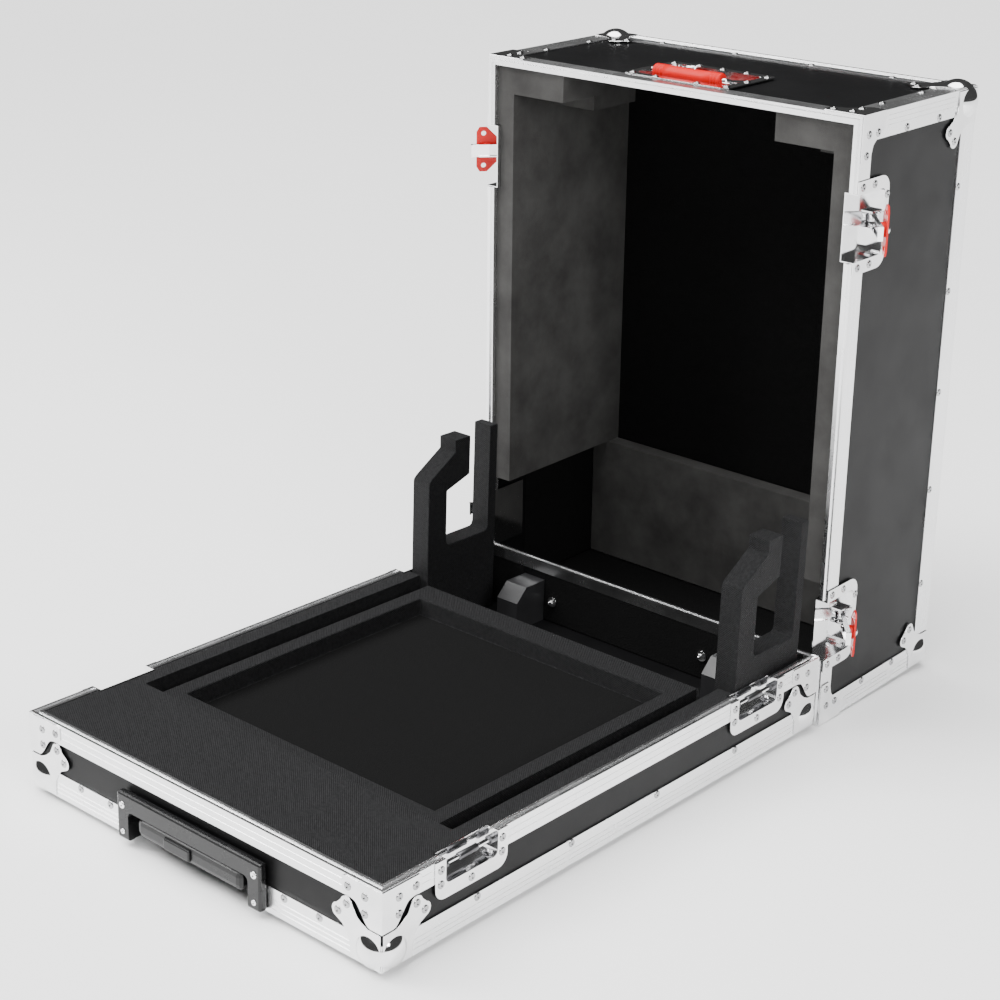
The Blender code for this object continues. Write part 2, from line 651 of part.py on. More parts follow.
def tow_frame(bench, panels, angle):
    """Inverted-U frame on the tray's front, lined niche for the grip, and a sleeve for each tube."""
    front = -LENGTH
    face = front - GAP
    half = TOW_WIDTH / 2
    niche = half - TOW_LEG
    roof = TOW_TOP - TOW_BAR
    niche_back = front + TOW_RECESS
    frame = bench.box("tow_frame", (-half, face - TOW_PROUD, TOW_BOTTOM), (half, face, TOW_TOP),
                      "black_plastic", rounded=0.0025, segments=2)
    bench.add(frame, (-niche - TOW_WALL, face - 0.005, TOW_BOTTOM + 0.001),
              (niche + TOW_WALL, niche_back + TOW_WALL, roof + TOW_WALL))
    outer = TOW_TUBE / 2 + TOW_RUN + TOW_SLEEVE_WALL
    outer_up = TOW_TUBE_HEIGHT / 2 + TOW_RUN + TOW_SLEEVE_WALL
    for sign in (-1, 1):
        x = sign * TOW_TUBE_X
        bench.add(frame, (x - outer, niche_back - 0.002, TOW_AXIS_Z - outer_up),
                  (x + outer, front + TOW_SLEEVE_LENGTH, TOW_AXIS_Z + outer_up))
    bench.cut(frame, (-niche, -1, -0.1), (niche, niche_back, roof), rounded=0.006, edges=along(1))
    for sign in (-1, 1):
        x = sign * TOW_TUBE_X
        inner = TOW_TUBE / 2 + TOW_RUN
        inner_up = TOW_TUBE_HEIGHT / 2 + TOW_RUN
        bench.cut(frame, (x - inner, niche_back - 0.02, TOW_AXIS_Z - inner_up),
                  (x + inner, 0, TOW_AXIS_Z + inner_up))
    room = TOW_WALL + GAP
    for body in (panels["front"], panels["floor"], angle):
        bench.cut(body, (-niche - room, -1, 0), (niche + room, niche_back + room, roof + room))


def tow_grip(bench):
    """The sliding handle on its two tubes, and the push button in its grip."""
    grip_back = -LENGTH + TOW_RECESS - TOW_GRIP_GAP
    grip_half = TOW_GRIP_LENGTH / 2
    top = TOW_AXIS_Z + TOW_GRIP_HEIGHT / 2
    low = (-grip_half, grip_back - TOW_GRIP_DEPTH, TOW_AXIS_Z - TOW_GRIP_HEIGHT / 2)
    handle = bench.box("tow_handle", low, (grip_half, grip_back, top), "black_plastic",
                       rounded=0.008, segments=3)
    for sign in (-1, 1):
        x = sign * TOW_TUBE_X
        bench.add(handle,
                  (x - TOW_TUBE / 2, grip_back - TOW_GRIP_DEPTH / 2, TOW_AXIS_Z - TOW_TUBE_HEIGHT / 2),
                  (x + TOW_TUBE / 2, -LENGTH + TOW_TUBE_LENGTH, TOW_AXIS_Z + TOW_TUBE_HEIGHT / 2))
    depth = 0.007
    front = low[1]
    z = TOW_AXIS_Z
    left, right = BUTTON_X - BUTTON_LENGTH / 2, BUTTON_X + BUTTON_LENGTH / 2
    button_low = (left, front - BUTTON_PROUD, z - BUTTON_HEIGHT / 2)
    button_high = (right, front + depth, z + BUTTON_HEIGHT / 2)
    bench.cut(handle, (left - GAP, -1, button_low[2] - GAP),
              (right + GAP, front + depth + BUTTON_TRAVEL + GAP, button_high[2] + GAP))
    smooth(handle)
    smooth(bench.box("tow_button", button_low, button_high, "black_plastic", rounded=0.0015, segments=2))


# ---------------------------------------------------------------- the lid
def lid_panels(bench):
    """Back, two sides, top end and bottom end of laminated plywood."""
    out = HALF - PANEL_INSET
    back = LID_DEPTH - PANEL_INSET
    front = RIM_WEB + GAP
    low, high = PANEL_INSET, LENGTH - PANEL_INSET
    inner_back = back - PANEL - GAP
    panels = {
        "back": bench.box("lid_back", (-out, back - PANEL, low), (out, back, high), "laminate"),
        "bottom": bench.box("lid_bottom_end", (-out, front, low),
                            (out, inner_back, low + PANEL), "laminate"),
        "top": bench.box("lid_top_end", (-out, front, high - PANEL),
                         (out, inner_back, high), "laminate"),
    }
    for side, sign in (("left", -1), ("right", 1)):
        xs = sorted((sign * out, sign * (out - PANEL)))
        panels[side] = bench.box("lid_" + side, (xs[0], front, low + PANEL + GAP),
                                 (xs[1], inner_back, high - PANEL - GAP), "laminate")
    return panels


def lid_angle(bench):
    """Double-angle extrusion along the lid's other eight edges, joined at the back corners."""
    start = RIM_DROP + GAP
    frame = bench.box("lid_edge_angle", (-HALF, start, 0), (HALF, LID_DEPTH, LENGTH), "aluminium")
    bench.cut(frame, (-HALF + SKIN, -0.1, SKIN), (HALF - SKIN, LID_DEPTH - SKIN, LENGTH - SKIN))
    bench.cut(frame, (-HALF + ANGLE, 0.1, ANGLE), (HALF - ANGLE, 1, LENGTH - ANGLE))
    bench.cut(frame, (-1, -0.1, ANGLE), (1, LID_DEPTH - ANGLE, LENGTH - ANGLE))
    bench.cut(frame, (-HALF + ANGLE, -0.1, -0.1), (HALF - ANGLE, LID_DEPTH - ANGLE, LENGTH + 0.1))
    return frame


def lid_foam(bench):
    """Side foam with a corner block each, and a block low across the back."""
    side_face = HALF - RIM_WIDTH - GAP
    back = LID_DEPTH - INNER - GAP
    top = LENGTH - RIM_WIDTH - GAP
    front = RIM_WEB
    inner = side_face - SIDE_FOAM
    pieces = {}
    for side, sign in (("left", -1), ("right", 1)):
        xs = sorted((sign * side_face, sign * inner))
        piece = bench.box("lid_foam_" + side, (xs[0], front, SIDE_FOAM_BOTTOM), (xs[1], back, top), "foam")
        xs = sorted((sign * (inner + 0.004), sign * (inner - CORNER_BLOCK_X)))
        block_back = front + CORNER_BLOCK_Y
        bench.add(piece, (xs[0], front, top - CORNER_BLOCK_Z), (xs[1], block_back, top))
        xs = sorted((sign * (inner + 0.004), sign * (inner - INNER_BLOCK_X)))
        bench.add(piece, (xs[0], block_back - 0.004, top - INNER_BLOCK_Z),
                  (xs[1], block_back + INNER_BLOCK_Y, top))
        pieces[side] = piece
    low = (-side_face, back - BACK_BLOCK, RIM_WIDTH + GAP)
    bench.box("lid_foam_back", low, (side_face, back - GAP, SIDE_FOAM_BOTTOM - GAP), "foam")
    return pieces


def latch_dish(shop, bench, name, sign, z, panel, foam):
    """A dish let into the lid's side, open to the rim, with two ears that hold the arm's pin."""
    def span(inner, outer):
        return sorted((sign * (HALF + inner), sign * (HALF + outer)))
    x0, x1 = span(GAP, GAP + DISH_SHEET)
    low = (x0, GAP, z - DISH_LENGTH / 2)
    high = (x1, LATCH_REACH, z + DISH_LENGTH / 2)
    mesh = box_mesh(low, high, rounded=0.016, segments=5,
                    edges=lambda a, b: abs(a.x - b.x) > 1e-6 and a.y > 0)
    dish = shop.solid(name, mesh, "zinc", bench.frame, centre_of(low, high))
    half = POCKET_LENGTH / 2
    x0, x1 = span(-LATCH_DEPTH, GAP + DISH_SHEET)
    pan_low = (x0, GAP, z - half - DISH_SHEET)
    pan_high = (x1, LATCH_POCKET + DISH_SHEET, z + half + DISH_SHEET)
    bench.add(dish, pan_low, pan_high)
    x0, x1 = span(-LATCH_DEPTH + DISH_SHEET, 0.02)
    bench.cut(dish, (x0, -0.1, z - half), (x1, LATCH_POCKET, z + half), rounded=0.006, edges=along(0))
    for end in (-1, 1):
        near = ARM_WIDTH / 2 + GAP
        zs = sorted((z + end * near, z + end * (near + 0.002)))
        x0, x1 = span(-LATCH_DEPTH + DISH_SHEET / 2, -PIN_IN + KNUCKLE)
        bench.add(dish, (x0, PIN_FROM_RIM - 0.0045, zs[0]), (x1, PIN_FROM_RIM + 0.0045, zs[1]))
    smooth(dish)
    x0, x1 = span(-LATCH_DEPTH - GAP, 0.02)
    room_low = (x0, -0.1, pan_low[2] - GAP)
    room_high = (x1, pan_high[1] + GAP, pan_high[2] + GAP)
    bench.cut(panel, room_low, room_high)
    bench.cut(foam, room_low, room_high)
    return dish


def latch_arm(shop, name, holder, sign):
    """The claw arm, built folded: it runs from its pin towards the rim, and its tip turns in."""
    knuckle = shop.solid(name, rod_mesh(KNUCKLE, ARM_WIDTH, 2, 16), "zinc", holder)
    bench = Bench(shop, holder)
    xs = sorted((0.0, sign * ARM_SHEET))
    half = ARM_WIDTH / 2
    bench.add(knuckle, (xs[0], -ARM_LENGTH, -half), (xs[1], 0, half))
    xs = sorted((-sign * 0.0035, sign * ARM_SHEET))
    bench.add(knuckle, (xs[0], -ARM_LENGTH, -half), (xs[1], -ARM_LENGTH + 0.0022, half))
    for end in (-1, 1):
        zs = sorted((end * half, end * (half - 0.0016)))
        xs = sorted((-sign * 0.0022, sign * 0.001))
        bench.add(knuckle, (xs[0], -ARM_LENGTH + 0.010, zs[0]), (xs[1], -0.008, zs[1]))
    smooth(knuckle)
    return knuckle


def wing_outline():
    """The butterfly's outline: u along the case, v towards the arm's tip."""
    half, wide = WING_HALF, WING_HALF_WIDTH
    right = [(half * 0.56, -wide), (half, -wide * 0.02), (half, wide * 0.70), (half * 0.78, wide)]
    return right + [(-u, v) for u, v in reversed(right)]


def latch_wing(shop, name, holder, sign):
    """The red butterfly on its rotor, turning about the arm's normal."""
    holes = [(u, WING_HALF_WIDTH * 0.30, WING_HOLE) for u in (-WING_HALF * 0.72, WING_HALF * 0.72)]
    mesh = slab_mesh(wing_outline(), WING_SHEET, holes)
    turn = Matrix(((0, 0, sign), (0, -1, 0), (1, 0, 0))).to_4x4()
    mesh.transform(turn)
    shift = sign * (WING_OFFSET + WING_SHEET / 2)
    mesh.transform(Matrix.Translation((shift, 0, 0)))
    shape = bmesh.new()
    shape.from_mesh(mesh)
    bmesh.ops.recalc_face_normals(shape, faces=shape.faces)
    shape.to_mesh(mesh)
    shape.free()
    wing = shop.solid(name, mesh, "red", holder)
    start = ARM_SHEET + GAP
    length = WING_OFFSET + 0.001 - start
    rotor = shop.cutter(rod_mesh(ROTOR_RADIUS, length, 0, 20), holder, (sign * (start + length / 2), 0, 0))
    boolean(wing, rotor, "UNION")
    return wing


def latches(shop, bench, panels, foams):
    """Four latches: dish, claw arm on its pin, and wing on the arm."""
    for side, sign in (("left", -1), ("right", 1)):
        for place, z in (("lower", LATCH_INSET), ("upper", LENGTH - LATCH_INSET)):
            tag = "%s_%s" % (side, place)
            latch_dish(shop, bench, "latch_dish_" + tag, sign, z, panels[side], foams[side])
            pin = shop.empty("latch_pin_" + tag, bench.frame, (sign * (HALF - PIN_IN), PIN_FROM_RIM, z),
                             (0, 0, sign * ARM_OPEN))
            latch_arm(shop, "latch_arm_" + tag, pin, sign)
            rotor = shop.empty("latch_rotor_" + tag, pin, (0, -WING_AT, 0))
            latch_wing(shop, "latch_wing_" + tag, rotor, sign)


def lid_handle(shop, bench, panels):
    """A recessed spring handle in the lid's top end."""
    y = HANDLE_FROM_RIM
    low = (-HANDLE_WIDTH / 2, y - HANDLE_DEPTH / 2, LENGTH + GAP)
    high = (HANDLE_WIDTH / 2, y + HANDLE_DEPTH / 2, LENGTH + GAP + DISH_SHEET)
    mesh = box_mesh(low, high, rounded=0.008, segments=4, edges=along(2))
    dish = shop.solid("handle_dish", mesh, "zinc", bench.frame, centre_of(low, high))
    px, py = HANDLE_POCKET_X / 2, HANDLE_POCKET_Y / 2
    bottom = LENGTH - HANDLE_POCKET_DEPTH
    pan_low = (-px - DISH_SHEET, y - py - DISH_SHEET, bottom)
    pan_high = (px + DISH_SHEET, y + py + DISH_SHEET, high[2])
    bench.add(dish, pan_low, pan_high)
    bench.cut(dish, (-px, y - py, bottom + DISH_SHEET), (px, y + py, 1), rounded=0.010, segments=4,
              edges=along(2))
    room_low = [v - GAP for v in pan_low]
    room_high = (pan_high[0] + GAP, pan_high[1] + GAP, 1)
    bench.cut(panels["top"], room_low, room_high)
    pivot_y = y + BAIL_BACK
    pivot_z = LENGTH - 0.0055
    for sign in (-1, 1):
        xs = sorted((sign * (BAIL_HALF + 0.001), sign * (px + DISH_SHEET / 2)))
        bench.add(dish, (xs[0], pivot_y - 0.005, bottom + DISH_SHEET / 2),
                  (xs[1], pivot_y + 0.005, LENGTH - 0.002))
    smooth(dish)
    pivot = shop.empty("handle_pivot", bench.frame, (0, pivot_y, pivot_z))
    rise = LENGTH + GRIP_UP - pivot_z
    end = BAIL_HALF
    path = [(-end, 0, 0), (-end + 0.006, 0, 0), (-end + 0.0075, -0.008, 0.001),
            (-GRIP_LENGTH / 2 - 0.004, -BAIL_ARM + 0.006, rise - 0.002), (-GRIP_LENGTH / 2, -BAIL_ARM, rise)]
    path = path + [(-x, py_, pz) for x, py_, pz in reversed(path)]
    bail = shop.solid("handle_bail", wire_mesh(path, BAIL_WIRE), "red", pivot)
    grip = shop.cutter(rod_mesh(GRIP_RADIUS, GRIP_LENGTH, 0, 24), pivot, (0, -BAIL_ARM, rise))
    boolean(bail, grip, "UNION")
    smooth(bail)


# ---------------------------------------------------------------- assembly
def ball_corners(shop, case, lid):
    """Eight caps: four under the tray, four at the lid's back."""
    low, high = (-HALF, -LENGTH, TRAY_BOTTOM), (HALF, 0, 1)
    for end, y, sy in (("front", -LENGTH, -1), ("back", 0, 1)):
        for side, sx in (("left", -1), ("right", 1)):
            name = "tray_ball_%s_%s" % (end, side)
            ball_corner(shop, name, case, (sx * HALF, y, TRAY_BOTTOM), (sx, sy, -1), low, high)
    low, high = (-HALF, -1, 0), (HALF, LID_DEPTH, LENGTH)
    for end, z, sz in (("lower", 0, -1), ("upper", LENGTH, 1)):
        for side, sx in (("left", -1), ("right", 1)):
            name = "lid_ball_%s_%s" % (end, side)
            ball_corner(shop, name, lid, (sx * HALF, LID_DEPTH, z), (sx, 1, sz), low, high)


def stand_at_origin(shop, case):
    """Put the origin under the middle of the whole object's box."""
    bpy.context.view_layer.update()
    graph = bpy.context.evaluated_depsgraph_get()
    points = []
    for piece in shop.parts.objects:
        if piece.type == "MESH":
            ready = piece.evaluated_get(graph)
            points += [ready.matrix_world @ vert.co for vert in ready.data.vertices]
    low = Vector([min(p[i] for p in points) for i in range(3)])
    high = Vector([max(p[i] for p in points) for i in range(3)])
    case.location = (-(low.x + high.x) / 2, -(low.y + high.y) / 2, -low.z)
    bpy.context.view_layer.update()


def main():
    """Build the whole case."""
    clear_scene()
    shop = Workshop()
    case = shop.empty("case")
    tray = Bench(shop, case)
    panels = tray_panels(tray)
    angle = tray_angle(tray)
    plane = Matrix.Translation((0, -LENGTH / 2, RIM_TOP))
    rim_pieces(shop, "tray", case, plane, ("front", "back"), tongue=False)
    surround = tray_foam(tray)
    strike_dishes(shop, tray, panels, surround)
    brackets(shop, tray)
    wheels(shop, tray, panels, angle)
    tow_frame(tray, panels, angle)
    tow_grip(tray)

    lid_frame = shop.empty("lid_frame", case, (0, LID_GAP, BRACE), (LID_TILT, 0, 0))
    lid = Bench(shop, lid_frame)
    sides = lid_panels(lid)
    lid_angle(lid)
    open_face = Matrix.Translation((0, 0, LENGTH / 2)) @ Matrix.Rotation(math.pi / 2, 4, "X")
    rim_pieces(shop, "lid", lid_frame, open_face, ("lower", "upper"), tongue=True)
    foams = lid_foam(lid)
    latches(shop, lid, sides, foams)
    lid_handle(shop, lid, sides)
    ball_corners(shop, case, lid_frame)
    stand_at_origin(shop, case)


main()
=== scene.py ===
# %% [markdown]
# # The looks of a touring case, standing open
#
# The case was built as solids first, so every size is already settled.  This script loads those solids
# as a fixed frame and gives them their finishes.  It also makes what is too small or too soft for the
# solids: rivets, corner braces, the flanges round the ball corners, the fleece linings and the foam.

# %% Load the frame
import json
import math

import bmesh
import bpy
from mathutils import Matrix, Vector


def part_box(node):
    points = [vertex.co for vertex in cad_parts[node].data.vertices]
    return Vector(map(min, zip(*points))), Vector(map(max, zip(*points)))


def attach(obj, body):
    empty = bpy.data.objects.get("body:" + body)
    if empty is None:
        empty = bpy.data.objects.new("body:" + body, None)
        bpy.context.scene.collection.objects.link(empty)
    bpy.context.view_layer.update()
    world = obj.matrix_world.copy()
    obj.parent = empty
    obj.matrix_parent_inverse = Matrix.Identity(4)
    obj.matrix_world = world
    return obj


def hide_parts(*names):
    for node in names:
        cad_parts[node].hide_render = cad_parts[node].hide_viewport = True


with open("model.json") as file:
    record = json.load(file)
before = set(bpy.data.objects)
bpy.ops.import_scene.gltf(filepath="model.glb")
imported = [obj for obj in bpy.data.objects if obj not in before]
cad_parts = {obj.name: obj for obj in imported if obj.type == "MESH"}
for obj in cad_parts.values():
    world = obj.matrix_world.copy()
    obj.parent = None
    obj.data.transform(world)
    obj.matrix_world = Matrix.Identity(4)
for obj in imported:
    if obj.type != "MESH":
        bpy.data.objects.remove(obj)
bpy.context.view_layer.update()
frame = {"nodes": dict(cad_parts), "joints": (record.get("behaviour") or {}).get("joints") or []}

nodes = frame["nodes"]
joints = {joint["name"]: joint for joint in frame["joints"]}

# %% [markdown]
# Everything on the tray is placed from the tray's own outline, and everything on the lid from the lid's.
# The lid leans forward a little, so it has a frame of its own: X across, Y from its open face to its
# closed back, Z along the case.  The latch's axis says how far it leans, and the latch's pin says where
# it stands, so nothing is measured twice.

# %% The tray's outline and the lid's frame
outline_low, outline_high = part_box("tray_edge_angle")
HALF = outline_high.x                       # half the case's width
LENGTH = outline_high.y - outline_low.y
FRONT = outline_low.y
BACK = outline_high.y
UNDER = outline_low.z
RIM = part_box("tray_rim_left")[1].z
LID_DEPTH = 0.248
PIN = Vector((HALF - 0.010, 0.0515, 0.125)) # the lower right latch's pin, in the lid's frame

lid_up = Vector(joints["latch_arm_right_lower"]["axis"])
lid_back = Vector((0, lid_up.z, -lid_up.y))
lid_turn = Matrix((Vector((1, 0, 0)), lid_back, lid_up)).transposed()
lid_origin = Vector(joints["latch_arm_right_lower"]["pos_m"]) - lid_turn @ PIN
LID = Matrix.Translation(lid_origin) @ lid_turn.to_4x4()
TRAY = Matrix.Identity(4)
print("case %.0f x %.0f mm, lid leans %.2f degrees" % (2000 * HALF, 1000 * LENGTH, math.degrees(
    math.atan2(-lid_up.y, lid_up.z))))

# %% [markdown]
# ## Effects that several finishes share
#
# A metal is never quite even: handling leaves faint cloudy patches that change its gloss, and drawing or
# rolling leaves fine lines.  Foam is pressed with a small diamond pattern, and fleece is a mat of short
# fibres.  Each effect is a node group, so that every finish can use it with its own values.

# %% A helper for node groups
def new_group(name, inputs, outputs):
    """A shader node group with float inputs (name, default) and float outputs."""
    group = bpy.data.node_groups.new(name, "ShaderNodeTree")
    for label, default in inputs:
        socket = group.interface.new_socket(label, in_out="INPUT", socket_type="NodeSocketFloat")
        socket.default_value = default
    for label in outputs:
        group.interface.new_socket(label, in_out="OUTPUT", socket_type="NodeSocketFloat")
    start = group.nodes.new("NodeGroupInput")
    end = group.nodes.new("NodeGroupOutput")
    place = group.nodes.new("ShaderNodeTexCoord")
    return group, start, end, place.outputs["Object"]


def math_node(tree, operation, first, second):
    """A Math node; each input is a socket to link or a number to set."""
    node = tree.nodes.new("ShaderNodeMath")
    node.operation = operation
    for index, value in enumerate((first, second)):
        if isinstance(value, (int, float)):
            node.inputs[index].default_value = value
        else:
            tree.links.new(value, node.inputs[index])
    return node.outputs[0]


# %% [markdown]
# Clouds: soft noise, stretched so that its middle tones fill the range.

# %% Cloudy handling marks
def make_clouds():
    """Mask from soft noise, between the group's Low and High."""
    group, start, end, place = new_group(
        "Clouds", [("Scale", 12.0), ("Low", 0.0), ("High", 1.0)], ["Value"])
    noise = group.nodes.new("ShaderNodeTexNoise")
    noise.inputs["Detail"].default_value = 5.0
    noise.inputs["Roughness"].default_value = 0.6
    group.links.new(place, noise.inputs["Vector"])
    group.links.new(start.outputs["Scale"], noise.inputs["Scale"])
    spread = group.nodes.new("ShaderNodeMapRange")
    spread.inputs["From Min"].default_value = 0.32
    spread.inputs["From Max"].default_value = 0.68
    group.links.new(noise.outputs["Fac"], spread.inputs["Value"])
    group.links.new(start.outputs["Low"], spread.inputs["To Min"])
    group.links.new(start.outputs["High"], spread.inputs["To Max"])
    group.links.new(spread.outputs["Result"], end.inputs["Value"])
    return group


clouds = make_clouds()
print("group:", clouds.name)


# %% [markdown]
# Grain: fine noise over coarser cells.

# %% Fine grain, for leathery laminate, cast skins and fleece
def make_grain():
    """Height made of two sizes of noise."""
    group, start, end, place = new_group("Grain", [("Scale", 900.0), ("Coarse", 0.3)], ["Height"])
    fine = group.nodes.new("ShaderNodeTexNoise")
    fine.inputs["Detail"].default_value = 3.0
    coarse = group.nodes.new("ShaderNodeTexVoronoi")
    for node in (fine, coarse):
        group.links.new(place, node.inputs["Vector"])
    group.links.new(start.outputs["Scale"], fine.inputs["Scale"])
    group.links.new(math_node(group, "MULTIPLY", start.outputs["Scale"], 0.6), coarse.inputs["Scale"])
    bumps = math_node(group, "MULTIPLY", coarse.outputs["Distance"], start.outputs["Coarse"])
    total = math_node(group, "ADD", fine.outputs["Fac"], bumps)
    group.links.new(total, end.inputs["Height"])
    return group


grain = make_grain()
print("group:", grain.name)


# %% [markdown]
# Diamonds: the net that a foam press leaves.

# %% Pressed diamonds, for the foam
def make_diamonds():
    """Height of a small diamond net: sines along three diagonals, so that it shows on every face."""
    group, start, end, place = new_group("Diamonds", [("Pitch", 0.0045)], ["Height"])
    split = group.nodes.new("ShaderNodeSeparateXYZ")
    group.links.new(place, split.inputs[0])
    turns = math_node(group, "DIVIDE", math.tau, start.outputs["Pitch"])
    x, y, z = split.outputs
    along = math_node(group, "ADD", x, math_node(group, "ADD", y, z))
    across = math_node(group, "SUBTRACT", math_node(group, "ADD", y, x), z)
    other = math_node(group, "SUBTRACT", x, math_node(group, "ADD", y, z))
    waves = []
    for direction in (along, across, other):
        wave = math_node(group, "SINE", math_node(group, "MULTIPLY", direction, turns), 0.0)
        waves.append(math_node(group, "ABSOLUTE", wave, 0.0))
    pair = math_node(group, "MULTIPLY", waves[0], waves[2])
    height = math_node(group, "ADD", pair, math_node(group, "MULTIPLY", waves[1], 0.25))
    group.links.new(height, end.inputs["Height"])
    return group


diamonds = make_diamonds()
print("group:", diamonds.name)

# %% [markdown]
# ## The finishes
#
# Each finish is one Principled material.  A helper starts it, lays a tint over the base colour, and feeds
# gloss and relief from the groups.  Values that are the same all over stay on the shader itself.

# %% Helpers for materials
def use(tree, group, **values):
    """A group placed in a material, with its inputs set."""
    node = tree.nodes.new("ShaderNodeGroup")
    node.node_tree = group
    for label, value in values.items():
        node.inputs[label].default_value = value
    return node.outputs[0]


def finish(name, metallic=0.0, specular=0.5, coat=0.0, sheen=0.0):
    """A new material and its tree and shader."""
    material = bpy.data.materials.new(name)
    material.use_nodes = True
    tree = material.node_tree
    shader = tree.nodes["Principled BSDF"]
    shader.inputs["Metallic"].default_value = metallic
    shader.inputs["Specular IOR Level"].default_value = specular
    shader.inputs["Coat Weight"].default_value = coat
    shader.inputs["Sheen Weight"].default_value = sheen
    return material, tree, shader


def tint(tree, shader, dark, light, mask):
    """Base colour between two tones."""
    mix = tree.nodes.new("ShaderNodeMix")
    mix.data_type = "RGBA"
    mix.inputs["A"].default_value = (*dark, 1)
    mix.inputs["B"].default_value = (*light, 1)
    tree.links.new(mask, mix.inputs["Factor"])
    tree.links.new(mix.outputs["Result"], shader.inputs["Base Color"])


def relief(tree, shader, height, distance, strength=1.0):
    """Feed a height to the shader's normal."""
    bump = tree.nodes.new("ShaderNodeBump")
    bump.inputs["Distance"].default_value = distance
    bump.inputs["Strength"].default_value = strength
    tree.links.new(height, bump.inputs["Height"])
    tree.links.new(bump.outputs["Normal"], shader.inputs["Normal"])


# %% [markdown]
# The extrusions are mill-finish aluminium: pale, and only half shiny.  The corner pieces, latches and
# dishes are bright zinc-plated steel, which mirrors the room.  Both get cloudy gloss.

# %% Metals
def make_metal(name, dark, light, gloss, spots, fine):
    """A metal whose tone and gloss drift; gloss is its lowest and highest roughness."""
    material, tree, shader = finish(name, metallic=1.0)
    tint(tree, shader, dark, light, use(tree, clouds, Scale=spots, Low=0.0, High=1.0))
    rough = use(tree, clouds, Scale=spots * 2.3, Low=gloss[0], High=gloss[1])
    tree.links.new(rough, shader.inputs["Roughness"])
    relief(tree, shader, use(tree, grain, Scale=fine, Coarse=0.1), 0.00002, 0.5)
    return material


aluminium = make_metal("extruded aluminium", (0.90, 0.905, 0.91), (0.96, 0.96, 0.965), (0.22, 0.30),
                       8.0, 1500.0)
zinc = make_metal("bright zinc plate", (0.80, 0.80, 0.81), (0.92, 0.92, 0.92), (0.05, 0.14), 30.0, 900.0)
chrome = make_metal("chromed wire", (0.85, 0.85, 0.86), (0.92, 0.92, 0.92), (0.04, 0.10), 40.0, 500.0)
# The rivets' metal is darker than the zinc they sit on. This is painted shade, standing in for the shadow
# gap round each head and the dark reflections on it.
rivet_metal_painted_shade = make_metal("rivet metal with painted shade", (0.34, 0.34, 0.345), (0.50, 0.50, 0.505), (0.10, 0.20), 60.0, 900.0)
dark_steel = make_metal("dark steel", (0.10, 0.10, 0.105), (0.22, 0.22, 0.23), (0.25, 0.42), 30.0, 900.0)
print("metals:", [m.name for m in (aluminium, zinc, chrome, rivet_metal_painted_shade, dark_steel)])

# %% [markdown]
# The panels are plywood under a thin black laminate with a fine orange-peel skin.  The red of the latch
# wings is a hard glossy paint, and the handle's grip is a softer red plastic.  The tow handle and the
# wheels' housings are black.

# %% Painted, laminated and moulded surfaces
def make_skin(name, dark, light, gloss, grain_scale, depth, spots=9.0, **extra):
    """A non-metal whose tone and gloss drift, with a fine grain."""
    material, tree, shader = finish(name, **extra)
    tint(tree, shader, dark, light, use(tree, clouds, Scale=spots, Low=0.0, High=1.0))
    rough = use(tree, clouds, Scale=spots * 1.7, Low=gloss[0], High=gloss[1])
    tree.links.new(rough, shader.inputs["Roughness"])
    relief(tree, shader, use(tree, grain, Scale=grain_scale, Coarse=0.5), depth, 0.6)
    return material


laminate = make_skin("black laminate", (0.0028, 0.0028, 0.0030), (0.0050, 0.0050, 0.0053), (0.34, 0.44),
                     900.0, 0.00010, specular=0.15)
red_paint = make_skin("red latch paint", (0.50, 0.0006, 0.0004), (0.60, 0.0012, 0.0008), (0.24, 0.36),
                      1200.0, 0.00003, specular=0.3)
red_grip = make_skin("red grip", (0.50, 0.0006, 0.0006), (0.60, 0.0012, 0.0010), (0.38, 0.50),
                     1500.0, 0.00008, specular=0.2)
black_plastic = make_skin("moulded black plastic", (0.004, 0.004, 0.0042), (0.007, 0.007, 0.0075),
                          (0.20, 0.32), 1600.0, 0.00005, specular=0.4)
black_metal = make_skin("black painted steel", (0.012, 0.012, 0.013), (0.022, 0.022, 0.023), (0.32, 0.5),
                        1100.0, 0.00006)
tyre = make_skin("wheel rubber", (0.018, 0.018, 0.018), (0.032, 0.031, 0.030), (0.5, 0.68), 1000.0, 0.0001)
print("skins:", [m.name for m in (laminate, red_paint, red_grip, black_plastic, black_metal, tyre)])

# %% [markdown]
# The foam in the tray has a pressed diamond face, and the foam in the lid is cut plain, so it shows its
# open cells and soft grey blotches.  The linings are short black fleece, which is darker than the foam.

# %% Foam and fleece
def make_foam(name, dark, light, pattern, depth, spots, rough, sheen):
    """Foam or fleece; pattern takes the material's tree and gives the height."""
    material, tree, shader = finish(name, specular=0.15, sheen=sheen)
    shader.inputs["Sheen Roughness"].default_value = 0.6
    shader.inputs["Roughness"].default_value = rough
    tint(tree, shader, dark, light, use(tree, clouds, Scale=spots, Low=0.0, High=1.0))
    relief(tree, shader, pattern(tree), depth)
    return material


pressed_foam = make_foam("pressed foam", (0.008, 0.008, 0.0084), (0.020, 0.020, 0.021),
                         lambda tree: use(tree, diamonds, Pitch=0.0056), 0.0010, 260.0, 0.58, 0.0)
cut_foam = make_foam("cut foam", (0.022, 0.021, 0.020), (0.050, 0.049, 0.047),
                     lambda tree: use(tree, grain, Scale=1400.0, Coarse=0.6), 0.0002, 16.0, 0.75, 0.08)
fleece = make_foam("black fleece", (0.0003, 0.0003, 0.0003), (0.0030, 0.0030, 0.0031),
                   lambda tree: use(tree, grain, Scale=1300.0, Coarse=1.0), 0.0007, 700.0, 0.95, 0.0)
print("soft finishes:", [m.name for m in (pressed_foam, cut_foam, fleece)])
